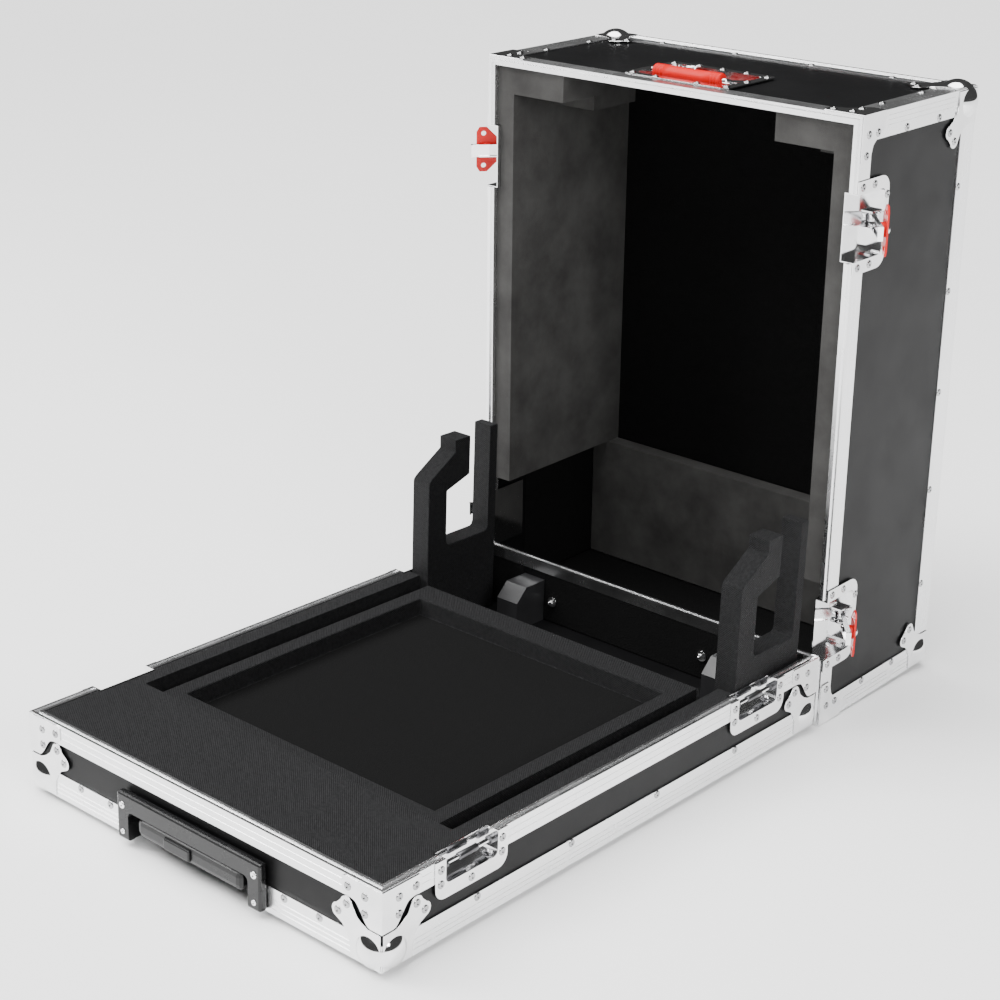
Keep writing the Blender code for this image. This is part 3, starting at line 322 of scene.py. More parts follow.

# %% [markdown]
# ## Dressing the solids
#
# The solids keep their shape.  They get their finish by name, and the extrusions, dishes, latch arms, wings
# and wheels' housings get a narrow bevel, because no real edge is perfectly sharp and it is the bevel that
# catches the light.

# %% Finish and bevel each solid
SOLID_FINISHES = {
    "tray_rim": (aluminium, 0.0004), "lid_rim": (aluminium, 0.0004), "tray_edge": (aluminium, 0.0005),
    "lid_edge": (aluminium, 0.0005), "tray_ball": (zinc, 0), "lid_ball": (zinc, 0),
    "strike": (zinc, 0.0003), "latch_dish": (zinc, 0.0003), "latch_arm": (zinc, 0.0003),
    "handle_dish": (zinc, 0.0003), "latch_wing": (red_paint, 0.0004), "wheel_housing": (black_metal, 0.0004),
    "wheel_left": (tyre, 0), "wheel_right": (tyre, 0), "tow": (black_plastic, 0),
    "tray": (laminate, 0), "lid": (laminate, 0), "handle_bail": (chrome, 0),
    "foam": (pressed_foam, 0), "bracket": (pressed_foam, 0),
}


def soften_edges(piece, width, segments=2, limit=40):
    """A bevel on the piece's sharp edges, and normals that keep its flat faces flat."""
    bevel = piece.modifiers.new("edges", "BEVEL")
    bevel.width = width
    bevel.segments = segments
    bevel.limit_method = "ANGLE"
    bevel.angle_limit = math.radians(limit)
    bevel.harden_normals = True
    piece.data.polygons.foreach_set("use_smooth", [True] * len(piece.data.polygons))


for name, node in nodes.items():
    key = next(key for key in SOLID_FINISHES if name.startswith(key))
    material, width = SOLID_FINISHES[key]
    node.data.materials.clear()
    node.data.materials.append(material)
    if width:
        soften_edges(node, width)
print("dressed %d solids" % len(nodes))

# %% [markdown]
# ## Making small pieces
#
# A small piece is drawn in a bmesh and then becomes an object that rides on a body.  Many pieces sit on a
# corner of the case, so a corner has its own little frame: two directions that run away from it along
# its faces, and a third that runs down its edge.

# %% Turn a bmesh into a piece
def piece_from(shape, name, material, body, smooth=False):
    """Object made from a bmesh, riding on a body."""
    bmesh.ops.recalc_face_normals(shape, faces=shape.faces)
    mesh = bpy.data.meshes.new(name)
    shape.to_mesh(mesh)
    shape.free()
    mesh.materials.append(material)
    if smooth:
        mesh.polygons.foreach_set("use_smooth", [True] * len(mesh.polygons))
    piece = bpy.data.objects.new(name, mesh)
    bpy.context.scene.collection.objects.link(piece)
    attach(piece, body)
    return piece


def add_ring_stack(shape, rings, axis_frame, steps):
    """A turned shape: rings of (radius, height), closed at both ends."""
    loops = []
    for radius, height in rings:
        loop = []
        for step in range(steps):
            turn = math.tau * step / steps
            point = Vector((radius * math.cos(turn), radius * math.sin(turn), height))
            loop.append(shape.verts.new(axis_frame @ point))
        loops.append(loop)
    for lower, upper in zip(loops, loops[1:]):
        for step in range(steps):
            after = (step + 1) % steps
            shape.faces.new((lower[step], lower[after], upper[after], upper[step]))
    shape.faces.new(loops[0][::-1])
    shape.faces.new(loops[-1])


def facing(place, outward):
    """A frame at a place with its Z along a direction."""
    return Matrix.Translation(place) @ Vector(outward).to_track_quat("Z", "Y").to_matrix().to_4x4()


# %% [markdown]
# The rivets are pop rivets: a low domed head with the small hole that its mandrel leaves.  Dozens of them
# hold the case together, so they are collected on a list as the other pieces are made, and drawn together
# at the end, one object for each body.

# %% Rivets
RIVET = 0.0046
RIVET_RISE = 0.0013
RIVET_PROFILE = [(1.0, -0.3), (1.0, 0.15), (0.93, 0.55), (0.74, 0.88), (0.48, 1.0), (0.34, 0.97),
                 (0.26, 0.45)]
rivets = {"tray": [], "lid": []}


def rivet(body, base, place, outward):
    """Note a rivet; base is the frame that its place and direction are given in."""
    rivets[body].append((base @ Vector(place), base.to_3x3() @ Vector(outward)))


def draw_rivets(body):
    """All of a body's rivets as one piece."""
    shape = bmesh.new()
    for place, outward in rivets[body]:
        rings = [(radius * RIVET, height * RIVET_RISE) for radius, height in RIVET_PROFILE]
        add_ring_stack(shape, rings, facing(place, outward), 14)
    # The rivets take the darkened metal, whose dark tone is painted shade.
    piece_from(shape, "rivets_" + body, rivet_metal_painted_shade, body, smooth=True)


# %% [markdown]
# ## Corner braces
#
# At each corner of both rims a bent steel brace clips the extrusions together.  Its lower edge sweeps
# down in a hollow curve from both ends to a deep tab on the case's edge.  It is one strip of sheet, so it
# is drawn as stations along the strip, each with its inner and outer corners.

# %% One brace
BRACE_REACH = 0.053
BRACE_DROP = 0.047       # depth at the corner's edge
BRACE_WAIST = 0.0235     # depth where the hollow curve ends
BRACE_END = 0.0195
BRACE_TAB = 0.015        # half the width of the deep part
BRACE_CURVE = 0.038      # where the hollow curve ends
BRACE_SHEET = 0.0013
BRACE_LIFT = 0.0001
BRACE_STATIONS = 18


def brace_edge(distance):
    """How far down the brace reaches, at a distance from the corner."""
    if distance > BRACE_CURVE:
        part = (distance - BRACE_CURVE) / (BRACE_REACH - BRACE_CURVE)
        return BRACE_WAIST + (BRACE_END - BRACE_WAIST) * part
    part = max(0.0, (distance - BRACE_TAB) / (BRACE_CURVE - BRACE_TAB))
    return BRACE_DROP - (BRACE_DROP - BRACE_WAIST) * (3 * part ** 2 - 2 * part ** 3)


def add_brace(name, body, base, corner, away_a, away_b, down):
    """A brace round the corner between two faces; away_a and away_b run along them."""
    corner, away_a, away_b, down = (Vector(v) for v in (corner, away_a, away_b, down))
    shape = bmesh.new()
    stations = []
    for index in range(-BRACE_STATIONS, BRACE_STATIONS + 1):
        distance = abs(index) / BRACE_STATIONS * BRACE_REACH
        along, outward = (away_a, -away_b) if index < 0 else (away_b, -away_a)
        if index == 0:
            outward = -away_a - away_b
        top = 0.0012 + (0.002 if abs(index) == BRACE_STATIONS else 0)
        foot = brace_edge(distance) - (0.002 if abs(index) == BRACE_STATIONS else 0)
        ring = []
        for depth, lift in ((top, BRACE_LIFT), (top, BRACE_SHEET), (foot, BRACE_SHEET), (foot, BRACE_LIFT)):
            ring.append(shape.verts.new(base @ (corner + along * distance + down * depth + outward * lift)))
        stations.append(ring)
    for first, second in zip(stations, stations[1:]):
        for side in range(4):
            shape.faces.new((first[side], first[(side + 1) % 4], second[(side + 1) % 4], second[side]))
    shape.faces.new(stations[0])
    shape.faces.new(stations[-1])
    piece = piece_from(shape, name, zinc, body)
    soften_edges(piece, 0.00035, limit=50)
    for along, outward in ((away_a, -away_b), (away_b, -away_a)):
        if (base.to_3x3() @ outward).z < -0.9:
            continue    # the lid stands on this face, so its rivets are flush
        for distance, depth in ((0.022, 0.0145), (0.045, 0.0120), (0.022, 0.0330)):
            place = corner + along * distance + down * depth + outward * BRACE_SHEET
            rivet(body, base, place, outward)


# %% [markdown]
# Both rims get four braces, at the same places on the tray and on the lid.

# %% Braces on the tray's rim and the lid's rim
for side, sx in (("left", -1), ("right", 1)):
    for end, y, sy in (("front", FRONT, 1), ("back", BACK, -1)):
        add_brace("tray_brace_%s_%s" % (end, side), "tray", TRAY, (sx * HALF, y, RIM),
                  (-sx, 0, 0), (0, sy, 0), (0, 0, -1))
    for end, z, sz in (("lower", 0, 1), ("upper", LENGTH, -1)):
        add_brace("lid_brace_%s_%s" % (end, side), "lid", LID, (sx * HALF, 0, z),
                  (-sx, 0, 0), (0, 0, sz), (0, 1, 0))
print("braces: 8, rivets so far:", {body: len(list_) for body, list_ in rivets.items()})

# %% [markdown]
# ## Flanges of the ball corners
#
# A ball corner is a pressed dome with a flange on each of its three faces.  Each flange runs out on its
# face's diagonal to two round ears with a rivet in each.  The outline is a foot and two arcs, and the dome
# is the part of a sphere that stands out of the case.

# %% A plate from an outline
def add_plate(shape, outline, base, corner, along, across, outward, thickness, lift=0.0001):
    """A flat plate: outline points (u, v) run along and across a face of the case."""
    corner, along, across, outward = (Vector(v) for v in (corner, along, across, outward))
    faces = []
    for rise in (lift, thickness):
        places = [corner + along * u + across * v + outward * rise for u, v in outline]
        faces.append([shape.verts.new(base @ place) for place in places])
    low, high = faces
    shape.faces.new(low[::-1])
    shape.faces.new(high)
    count = len(outline)
    for index in range(count):
        after = (index + 1) % count
        shape.faces.new((low[index], low[after], high[after], high[index]))


def arc(centre, radius, start, stop, steps=7):
    """Points on an arc, in degrees."""
    points = []
    for step in range(steps):
        turn = math.radians(start + (stop - start) * step / (steps - 1))
        points.append((centre[0] + radius * math.cos(turn), centre[1] + radius * math.sin(turn)))
    return points


# %% [markdown]
# The tray has its balls under its lower corners, and the lid has them at its back corners.

# %% Flanges and domes on all eight corners
EAR = 0.0085
EAR_FAR = 0.0580
EAR_NEAR = 0.0465
FLANGE = 0.0014
DOME = 0.0250            # radius of the pressed ball
DOME_INSET = 0.0170      # its centre, in from each face


def flange_outline():
    """A wide foot along both edges, and two ears on the diagonal, mirror images of each other."""
    foot = [(0.0015, 0.0012), (0.0415, 0.0012), (0.0420, 0.0180), (0.0460, 0.0270), (0.0525, 0.0345)]
    ears = arc((EAR_FAR, EAR_NEAR), EAR, -75, 75) + arc((EAR_NEAR, EAR_FAR), EAR, 15, 165)
    return foot + ears + [(v, u) for u, v in reversed(foot[2:])] + [(0.0012, 0.0415)]


def add_dome(name, body, base, corner, signs, cad_ball):
    """The ball itself: the part of a sphere that stands out of the case."""
    shape = bmesh.new()
    bmesh.ops.create_uvsphere(shape, u_segments=48, v_segments=32, radius=DOME)
    middle = Vector([corner[i] - signs[i] * DOME_INSET for i in range(3)])
    bmesh.ops.translate(shape, verts=shape.verts, vec=middle)
    hidden = []
    for vert in shape.verts:
        if all(signs[i] * (vert.co[i] - corner[i]) < -0.0012 for i in range(3)):
            hidden.append(vert)
    bmesh.ops.delete(shape, geom=hidden, context="VERTS")
    bmesh.ops.transform(shape, matrix=base, verts=shape.verts)
    dome = piece_from(shape, name, zinc, body, smooth=True)
    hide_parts(cad_ball)


def add_ball_flanges(name, body, base, corner, signs):
    """Three flanges on one corner of the case; signs point outward."""
    shape = bmesh.new()
    axes = [Vector((signs[0], 0, 0)), Vector((0, signs[1], 0)), Vector((0, 0, signs[2]))]
    for face in range(3):
        outward = axes[face]
        along, across = -axes[(face + 1) % 3], -axes[(face + 2) % 3]
        add_plate(shape, flange_outline(), base, corner, along, across, outward, FLANGE)
        for u, v in ((EAR_FAR, EAR_NEAR), (EAR_NEAR, EAR_FAR)):
            rivet(body, base, Vector(corner) + along * u + across * v + outward * FLANGE, outward)
    piece = piece_from(shape, name, zinc, body)
    soften_edges(piece, 0.0004)


for side, sx in (("left", -1), ("right", 1)):
    for end, y, sy in (("front", FRONT, -1), ("back", BACK, 1)):
        tag = "%s_%s" % (end, side)
        corner, signs = (sx * HALF, y, UNDER), (sx, sy, -1)
        add_ball_flanges("tray_flange_" + tag, "tray", TRAY, corner, signs)
        add_dome("tray_dome_" + tag, "tray", TRAY, corner, signs, "tray_ball_" + tag)
    for end, z, sz in (("lower", 0, -1), ("upper", LENGTH, 1)):
        tag = "%s_%s" % (end, side)
        corner, signs = (sx * HALF, LID_DEPTH, z), (sx, 1, sz)
        add_ball_flanges("lid_flange_" + tag, "lid", LID, corner, signs)
        add_dome("lid_dome_" + tag, "lid", LID, corner, signs, "lid_ball_" + tag)
print("flanges: 8 corners, rivets so far:", {body: len(list_) for body, list_ in rivets.items()})

# %% [markdown]
# ## Rivets along the extrusions
#
# Between the corners the edge extrusions are riveted to the panels every 120 to 150 mm, close to the inner
# edge of each leg.  The rivets are spaced evenly between two end distances along each edge.

# %% Rows of rivets
LEG_LINE = 0.0255        # rivet line from the case's edge


def row(body, base, start, stop, count, outward):
    """Evenly spaced rivets from start to stop."""
    start, stop = Vector(start), Vector(stop)
    for index in range(count):
        rivet(body, base, start.lerp(stop, index / (count - 1)), outward)


tray_line = UNDER + LEG_LINE
for sx in (-1, 1):
    x, line_x = sx * HALF, sx * (HALF - LEG_LINE)
    row("tray", TRAY, (x, BACK - 0.163, tray_line), (x, BACK - 0.604, tray_line), 4, (sx, 0, 0))
    row("tray", TRAY, (line_x, FRONT + 0.12, UNDER), (line_x, BACK - 0.12, UNDER), 5, (0, 0, -1))
    row("tray", TRAY, (sx * 0.135, FRONT, tray_line), (sx * 0.185, FRONT, tray_line), 2, (0, -1, 0))
    edge = LID_DEPTH - LEG_LINE
    row("lid", LID, (x, edge, 0.115), (x, edge, LENGTH - 0.115), 5, (sx, 0, 0))
    row("lid", LID, (line_x, LID_DEPTH, 0.115), (line_x, LID_DEPTH, LENGTH - 0.115), 5, (0, 1, 0))
    for z, line, sz in ((0, LEG_LINE, -1), (LENGTH, LENGTH - LEG_LINE, 1)):
        row("lid", LID, (x, 0.095, line), (x, 0.165, line), 2, (sx, 0, 0))
        row("lid", LID, (line_x, 0.080, z), (line_x, 0.165, z), 2, (0, 0, sz))
row("tray", TRAY, (-0.19, BACK, tray_line), (0.19, BACK, tray_line), 4, (0, 1, 0))
for z, line, sz in ((0, LEG_LINE, -1), (LENGTH, LENGTH - LEG_LINE, 1)):
    row("lid", LID, (-0.17, LID_DEPTH, line), (0.17, LID_DEPTH, line), 4, (0, 1, 0))
    row("lid", LID, (-0.17, LID_DEPTH - LEG_LINE, z), (0.17, LID_DEPTH - LEG_LINE, z), 4, (0, 0, sz))
print("rivets so far:", {body: len(list_) for body, list_ in rivets.items()})

# %% [markdown]
# The extrusions come out of their die with fine raised lines along every face.  They catch the light as
# pairs of bright and dark threads, so they are real ridges, a fifth of a millimetre high.

# %% Ridges along the extrusions
RIDGE = 0.0004
RIDGE_HEIGHT = 0.00022
RIDGE_LINES = (0.0065, 0.0120, 0.0175)
RIM_LINES = (0.0075, 0.0150)
CORNER_CLEAR = 0.0425
BRACE_CLEAR = 0.0540
LATCH_HALF = 0.0535      # half the length of a latch dish
TOW_CLEAR = 0.1120       # the front ridges start beyond the tow handle's frame
WHEEL_CLEAR = 0.145      # and the back ones stay between the wheels
ridges = {"tray": bmesh.new(), "lid": bmesh.new()}


def ridge(body, base, start, stop, outward):
    """One ridge from start to stop on a face that looks outward."""
    shape = ridges[body]
    start, stop, outward = Vector(start), Vector(stop), Vector(outward)
    across = (stop - start).normalized().cross(outward)
    ends = []
    for place in (start, stop):
        corners = []
        for side, lift in ((-1, -0.0001), (-0.5, RIDGE_HEIGHT), (0.5, RIDGE_HEIGHT), (1, -0.0001)):
            corners.append(shape.verts.new(base @ (place + across * side * RIDGE + outward * lift)))
        ends.append(corners)
    for index in range(4):
        after = (index + 1) % 4
        shape.faces.new((ends[0][index], ends[0][after], ends[1][after], ends[1][index]))
    shape.faces.new(ends[0][::-1])
    shape.faces.new(ends[1])


front_dish = [corner.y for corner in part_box("strike_dish_right_front")]
back_dish = [corner.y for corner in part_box("strike_dish_right_back")]
for sx in (-1, 1):
    x = sx * HALF
    for line in RIDGE_LINES:
        z = UNDER + line
        ridge("tray", TRAY, (x, FRONT + CORNER_CLEAR, z), (x, BACK - CORNER_CLEAR, z), (sx, 0, 0))
        ridge("tray", TRAY, (sx * TOW_CLEAR, FRONT, z), (sx * (HALF - CORNER_CLEAR), FRONT, z), (0, -1, 0))
        depth = LID_DEPTH - line
        low, high = CORNER_CLEAR, LENGTH - CORNER_CLEAR
        ridge("lid", LID, (x, depth, low), (x, depth, high), (sx, 0, 0))
        ridge("lid", LID, (x - sx * line, LID_DEPTH, low), (x - sx * line, LID_DEPTH, high), (0, 1, 0))
        for z, sz in ((0, -1), (LENGTH, 1)):
            start, stop = BRACE_CLEAR, LID_DEPTH - CORNER_CLEAR
            ridge("lid", LID, (x, start, z - sz * line), (x, stop, z - sz * line), (sx, 0, 0))
            if sz > 0:
                ridge("lid", LID, (x - sx * line, start, z), (x - sx * line, stop, z), (0, 0, sz))
    for line in RIM_LINES:
        first, last = FRONT + BRACE_CLEAR, BACK - BRACE_CLEAR
        for start, stop in ((first, front_dish[0]), (front_dish[1], back_dish[0]), (back_dish[1], last)):
            ridge("tray", TRAY, (x, start, RIM - line), (x, stop, RIM - line), (sx, 0, 0))
        middle = LENGTH / 2
        reach = middle - PIN.z - LATCH_HALF
        ridge("lid", LID, (x, line, middle - reach), (x, line, middle + reach), (sx, 0, 0))
for line in RIDGE_LINES:
    z = UNDER + line
    ridge("tray", TRAY, (-WHEEL_CLEAR, BACK, z), (WHEEL_CLEAR, BACK, z), (0, 1, 0))
    for z, sz in ((0, -1), (LENGTH, 1)):
        reach = HALF - CORNER_CLEAR
        ridge("lid", LID, (-reach, LID_DEPTH, z - sz * line), (reach, LID_DEPTH, z - sz * line), (0, 1, 0))
    ridge("lid", LID, (-HALF + CORNER_CLEAR, LID_DEPTH - line, LENGTH),
          (HALF - CORNER_CLEAR, LID_DEPTH - line, LENGTH), (0, 0, 1))
for line in RIM_LINES:
    reach = HALF - BRACE_CLEAR
    ridge("tray", TRAY, (-reach, FRONT, RIM - line), (reach, FRONT, RIM - line), (0, -1, 0))
    ridge("tray", TRAY, (-reach, BACK, RIM - line), (reach, BACK, RIM - line), (0, 1, 0))
for body, shape in ridges.items():
    print("ridges on the %s: %d" % (body, len(shape.faces) // 6))
    piece_from(shape, "ridges_" + body, aluminium, body)

# %% [markdown]
# ## Dishes and latches
#
# The strike dish holds a keeper bar that the latch's claw hooks over.  Round the bar turns a dark roller,
# and a small boss holds each of its ends.  The latch dish carries the claw arm, with a riveted boss near
# its root, a washer under the wing, and a screw head on top of it.

# %% Rivets and keepers of the strike dishes
SHEET = 0.0015
KEEPER_IN = 0.0055
KEEPER_DOWN = 0.0105
POCKET = 0.076

for side, sx in (("left", -1), ("right", 1)):
    for end in ("front", "back"):
        low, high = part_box("strike_dish_%s_%s" % (side, end))
        middle = (low.y + high.y) / 2
        face = sx * (HALF + SHEET)
        for sign in (-1, 1):
            for down in (0.010, 0.026):
                rivet("tray", TRAY, (face, middle + sign * 0.0448, high.z - down), (sx, 0, 0))
        rivet("tray", TRAY, (face, middle, low.z + 0.0075), (sx, 0, 0))
        shape = bmesh.new()
        bar = facing((sx * (HALF - KEEPER_IN), middle, high.z - KEEPER_DOWN), (0, 1, 0))
        tube = [(0.0031, -0.014), (0.0038, -0.013), (0.0038, 0.013), (0.0031, 0.014)]
        add_ring_stack(shape, tube, bar, 20)
        for sign in (-1, 1):
            ends = sorted((sign * POCKET / 2, sign * (POCKET / 2 - 0.007)))
            add_ring_stack(shape, [(0.0046, ends[0]), (0.0046, ends[1])], bar, 20)
        name = "keeper_roller_%s_%s" % (side, end)
        roller = piece_from(shape, name, dark_steel, "tray", smooth=True)
        soften_edges(roller, 0.0003)
print("keeper rollers: 4")

# %% [markdown]
# The four latches are alike.  The wing's axis says which way each one faces.

# %% Latch hardware
WING_TOP = 0.0094        # the wing's outer face above the arm's axis

for side, sx in (("left", -1), ("right", 1)):
    for end, z in (("lower", PIN.z), ("upper", LENGTH - PIN.z)):
        tag = "%s_%s" % (side, end)
        face = sx * (HALF + SHEET)
        for sz in (-1, 1):
            for y in (0.010, 0.034):
                rivet("lid", LID, (face, y, z + sz * 0.0455), (sx, 0, 0))
        for offset in (-0.030, 0, 0.030):
            rivet("lid", LID, (face, 0.0612, z + offset), (sx, 0, 0))
        wing = joints["latch_wing_" + tag]
        outward = Vector(wing["axis"])
        if outward.x * sx < 0:
            outward.negate()
        rotor = Vector(wing["pos_m"])
        shape = bmesh.new()
        washer = facing(rotor + outward * WING_TOP, outward)
        add_ring_stack(shape, [(0.0078, -0.0002), (0.0078, 0.0008), (0.0070, 0.0014), (0.0046, 0.0016),
                               (0.0042, 0.0030), (0.0028, 0.0038), (0.0010, 0.0036)], washer, 24)
        piece_from(shape, "latch_screw_" + tag, zinc, "latch_wing_" + tag, smooth=True)
        arm = joints["latch_arm_" + tag]
        root = Vector(arm["pos_m"])
        along = (rotor - root).normalized()
        shape = bmesh.new()
        boss = facing(root + along * 0.017 + outward * 0.0025, outward)
        dome = [(0.0052, -0.0004), (0.0052, 0.0012), (0.0040, 0.0022), (0.0020, 0.0026)]
        add_ring_stack(shape, dome, boss, 20)
        piece_from(shape, "latch_boss_" + tag, zinc, "latch_arm_" + tag, smooth=True)
        shape = bmesh.new()
        spring = facing(root, Vector(arm["axis"]))
        coil = [(0.0040, -0.0078), (0.0044, -0.0074), (0.0044, -0.0058), (0.0036, -0.0054)]
        coil += [(0.0036, 0.0054), (0.0044, 0.0058), (0.0044, 0.0074), (0.0040, 0.0078)]
        add_ring_stack(shape, coil, spring, 20)
        piece_from(shape, "latch_knuckle_" + tag, zinc, "latch_arm_" + tag, smooth=True)
print("latch hardware: 4 latches")

# %% [markdown]
# ## The lid's handle
#
# The handle is a bent chromed wire with a moulded red grip.  The wire is swept along a curve of its
# centre line, because the bends stay round that way, and the grip is turned with a flare and ribs at each
# end.  Together they stand for the plain bail of the frame.

# %% Wire and grip
GRIP_HALF = 0.049
BAIL_ARM = 0.047
WIRE = 0.0030
BAIL_HALF = 0.058
bail = joints["handle_lift"]
pivot = Vector(bail["pos_m"])
HINGE = Matrix.Translation(pivot) @ lid_turn.to_4x4()
grip_rise = LENGTH + WIRE - (LID.inverted() @ pivot).z

path = [(-BAIL_HALF, 0, 0), (-0.0535, 0, 0), (-0.0515, -0.003, 0.0003), (-0.0515, -0.010, 0.0015),
        (-0.0530, -0.036, grip_rise - 0.003), (-0.0530, -0.042, grip_rise - 0.001),
        (-0.0505, -BAIL_ARM + 0.001, grip_rise), (-GRIP_HALF + 0.002, -BAIL_ARM, grip_rise)]
path = path + [(-x, y, z) for x, y, z in reversed(path)]
curve = bpy.data.curves.new("handle_wire", "CURVE")
curve.dimensions = "3D"
curve.bevel_depth = WIRE
curve.bevel_resolution = 5
curve.use_fill_caps = True
spline = curve.splines.new("POLY")
spline.points.add(len(path) - 1)
for point, place in zip(spline.points, path):
    point.co = (*(HINGE @ Vector(place)), 1)
curve.materials.append(chrome)
wire = bpy.data.objects.new("handle_wire", curve)
bpy.context.scene.collection.objects.link(wire)
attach(wire, "handle_bail")
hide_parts("handle_bail")

shape = bmesh.new()
profile = [(0.0050, -GRIP_HALF), (0.0080, -GRIP_HALF + 0.0006), (0.0088, -GRIP_HALF + 0.0025)]
for rib in range(3):
    start = -GRIP_HALF + 0.005 + rib * 0.004
    profile += [(0.0088, start), (0.0080, start + 0.0007)]
    profile += [(0.0080, start + 0.0017), (0.0088, start + 0.0024)]
profile += [(0.0084, -0.024), (0.0082, 0)]
profile = profile + [(radius, -height) for radius, height in reversed(profile[:-1])]
grip_frame = HINGE @ facing((0, -BAIL_ARM, grip_rise), (1, 0, 0))
add_ring_stack(shape, profile, grip_frame, 32)
piece_from(shape, "handle_grip", red_grip, "handle_bail", smooth=True)
for x, y in ((-0.068, 0.030), (-0.068, 0.071), (-0.068, 0.112), (-0.035, 0.1175), (0, 0.1175),
             (0.035, 0.1175), (0.068, 0.112), (0.068, 0.071), (0.068, 0.030), (-0.030, 0.0245),
             (0.030, 0.0245)):
    rivet("lid", LID, (x, y, LENGTH + SHEET), (0, 0, 1))
print("handle: wire of %d points and grip of %d rings" % (len(path), len(profile)))

# %% [markdown]
# ## Foam
#
# The foam in the frame is plain.  Real cut foam has edges that give a little, so each block is copied, its
# flat faces are merged, and its edges get a rounded bevel.  The copy stands for the plain one.

# %% Foam blocks with rounded edges
def round_foam(source, body, material, width):
    """A copy of a foam solid with soft edges, which stands for it."""
    shape = bmesh.new()
    shape.from_mesh(nodes[source].data)
    bmesh.ops.remove_doubles(shape, verts=shape.verts, dist=0.00001)
    bmesh.ops.dissolve_limit(shape, angle_limit=math.radians(1), verts=shape.verts, edges=shape.edges)
    bmesh.ops.triangulate(shape, faces=shape.faces)
    piece = piece_from(shape, source + "_soft", material, body)
    soften_edges(piece, width, segments=3, limit=25)
    piece.data.polygons.foreach_set("use_smooth", [False] * len(piece.data.polygons))
    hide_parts(source)


for source, width in (("foam_surround", 0.0016), ("foam_cradle", 0.0022), ("bracket_left", 0.0024),
                      ("bracket_right", 0.0024)):
    round_foam(source, "tray", pressed_foam, width)
for source in ("lid_foam_left", "lid_foam_right", "lid_foam_back"):
    round_foam(source, "lid", cut_foam, 0.0016)
print("foam blocks: 7")

# %% [markdown]
# ## Fleece linings
#
# Black fleece is glued over the well's floor, the rear bay and the inside of the lid.  It is a mat about a
# millimetre thick, so each lining is a thin slab with rounded rims.

# %% Fleece slabs
FLEECE = 0.0010
CLEAR = 0.0002


def lining(name, body, base, low, high):
    """A thin slab of fleece between two corners."""
    shape = bmesh.new()
    middle = (Vector(low) + Vector(high)) / 2
    size = Vector(high) - Vector(low)
    slab = base @ Matrix.Translation(middle) @ Matrix.Diagonal((*size, 1))
    bmesh.ops.create_cube(shape, size=1, matrix=slab)
    piece = piece_from(shape, name, fleece, body)
    soften_edges(piece, 0.0004)


cradle_low, cradle_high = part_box("foam_cradle")
floor_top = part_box("tray_floor")[1].z
well_top = 0.0690
lining("fleece_well", "tray", TRAY, (cradle_low.x + 0.0225, cradle_low.y + 0.0225, well_top + CLEAR),
       (cradle_high.x - 0.0225, cradle_high.y - 0.0380, well_top + CLEAR + FLEECE))
bay_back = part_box("tray_back")[0].y
housing_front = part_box("wheel_housing_left")[0].y
lining("fleece_bay_floor", "tray", TRAY, (-0.2255, cradle_high.y + 0.001, floor_top + CLEAR),
       (0.2255, housing_front - 0.001, floor_top + CLEAR + FLEECE))
lining("fleece_bay_back", "tray", TRAY, (-0.1465, bay_back - CLEAR - FLEECE, floor_top + 0.002),
       (0.1465, bay_back - CLEAR, RIM - 0.0155))
for side, sx in (("left", -1), ("right", 1)):
    xs = sorted((sx * 0.1830, sx * 0.2590))
    lining("fleece_bay_corner_" + side, "tray", TRAY, (xs[0], bay_back - CLEAR - FLEECE, floor_top + 0.002),
           (xs[1], bay_back - CLEAR, RIM - 0.0155))
inner_back = LID_DEPTH - 0.0088
SLAB_FACE = 0.2150       # the lid's back slab of foam starts here
lining("fleece_lid_back", "lid", LID, (-0.2330, inner_back - CLEAR - FLEECE, 0.1825),
       (0.2330, inner_back - CLEAR, LENGTH - 0.012))
lining("fleece_lid_bottom", "lid", LID, (-0.2585, 0.016, 0.0088 + CLEAR),
       (0.2585, SLAB_FACE, 0.0088 + CLEAR + FLEECE))
for side, sx in (("left", -1), ("right", 1)):
    xs = sorted((sx * (0.2612 - CLEAR), sx * (0.2612 - CLEAR - FLEECE)))
    lining("fleece_lid_side_" + side, "lid", LID, (xs[0], 0.0700, 0.012), (xs[1], SLAB_FACE, 0.1815))
print("linings: 9")

# %% [markdown]
# ## Tow handle, wheels and bolts
#
# The tow handle's frame is held by a cross-head screw at each end, and a bolt with a washer passes
# through the rear bay's wall beside each wheel.  Each wheel has a steel bearing shield on both sides.

# %% Screws and bolts
def add_screw(shape, place, outward, radius, rise, sides=20):
    """A pan-head screw: a domed head with a hollow middle."""
    rings = [(radius, -0.0004), (radius, rise * 0.45), (radius * 0.86, rise * 0.85), (radius * 0.55, rise),
             (radius * 0.34, rise), (radius * 0.22, rise * 0.35)]
    add_ring_stack(shape, rings, facing(place, outward), sides)


tow_low, tow_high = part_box("tow_frame")
shape = bmesh.new()
for sx in (-1, 1):
    x = sx * (tow_high.x - 0.0090)
    add_screw(shape, (x, tow_low.y, tow_high.z - 0.0140), (0, -1, 0), 0.0042, 0.0014)
    add_screw(shape, (x, tow_low.y, tow_low.z + 0.0090), (0, -1, 0), 0.0032, 0.0012)
piece_from(shape, "tow_frame_screws", chrome, "tray", smooth=True)

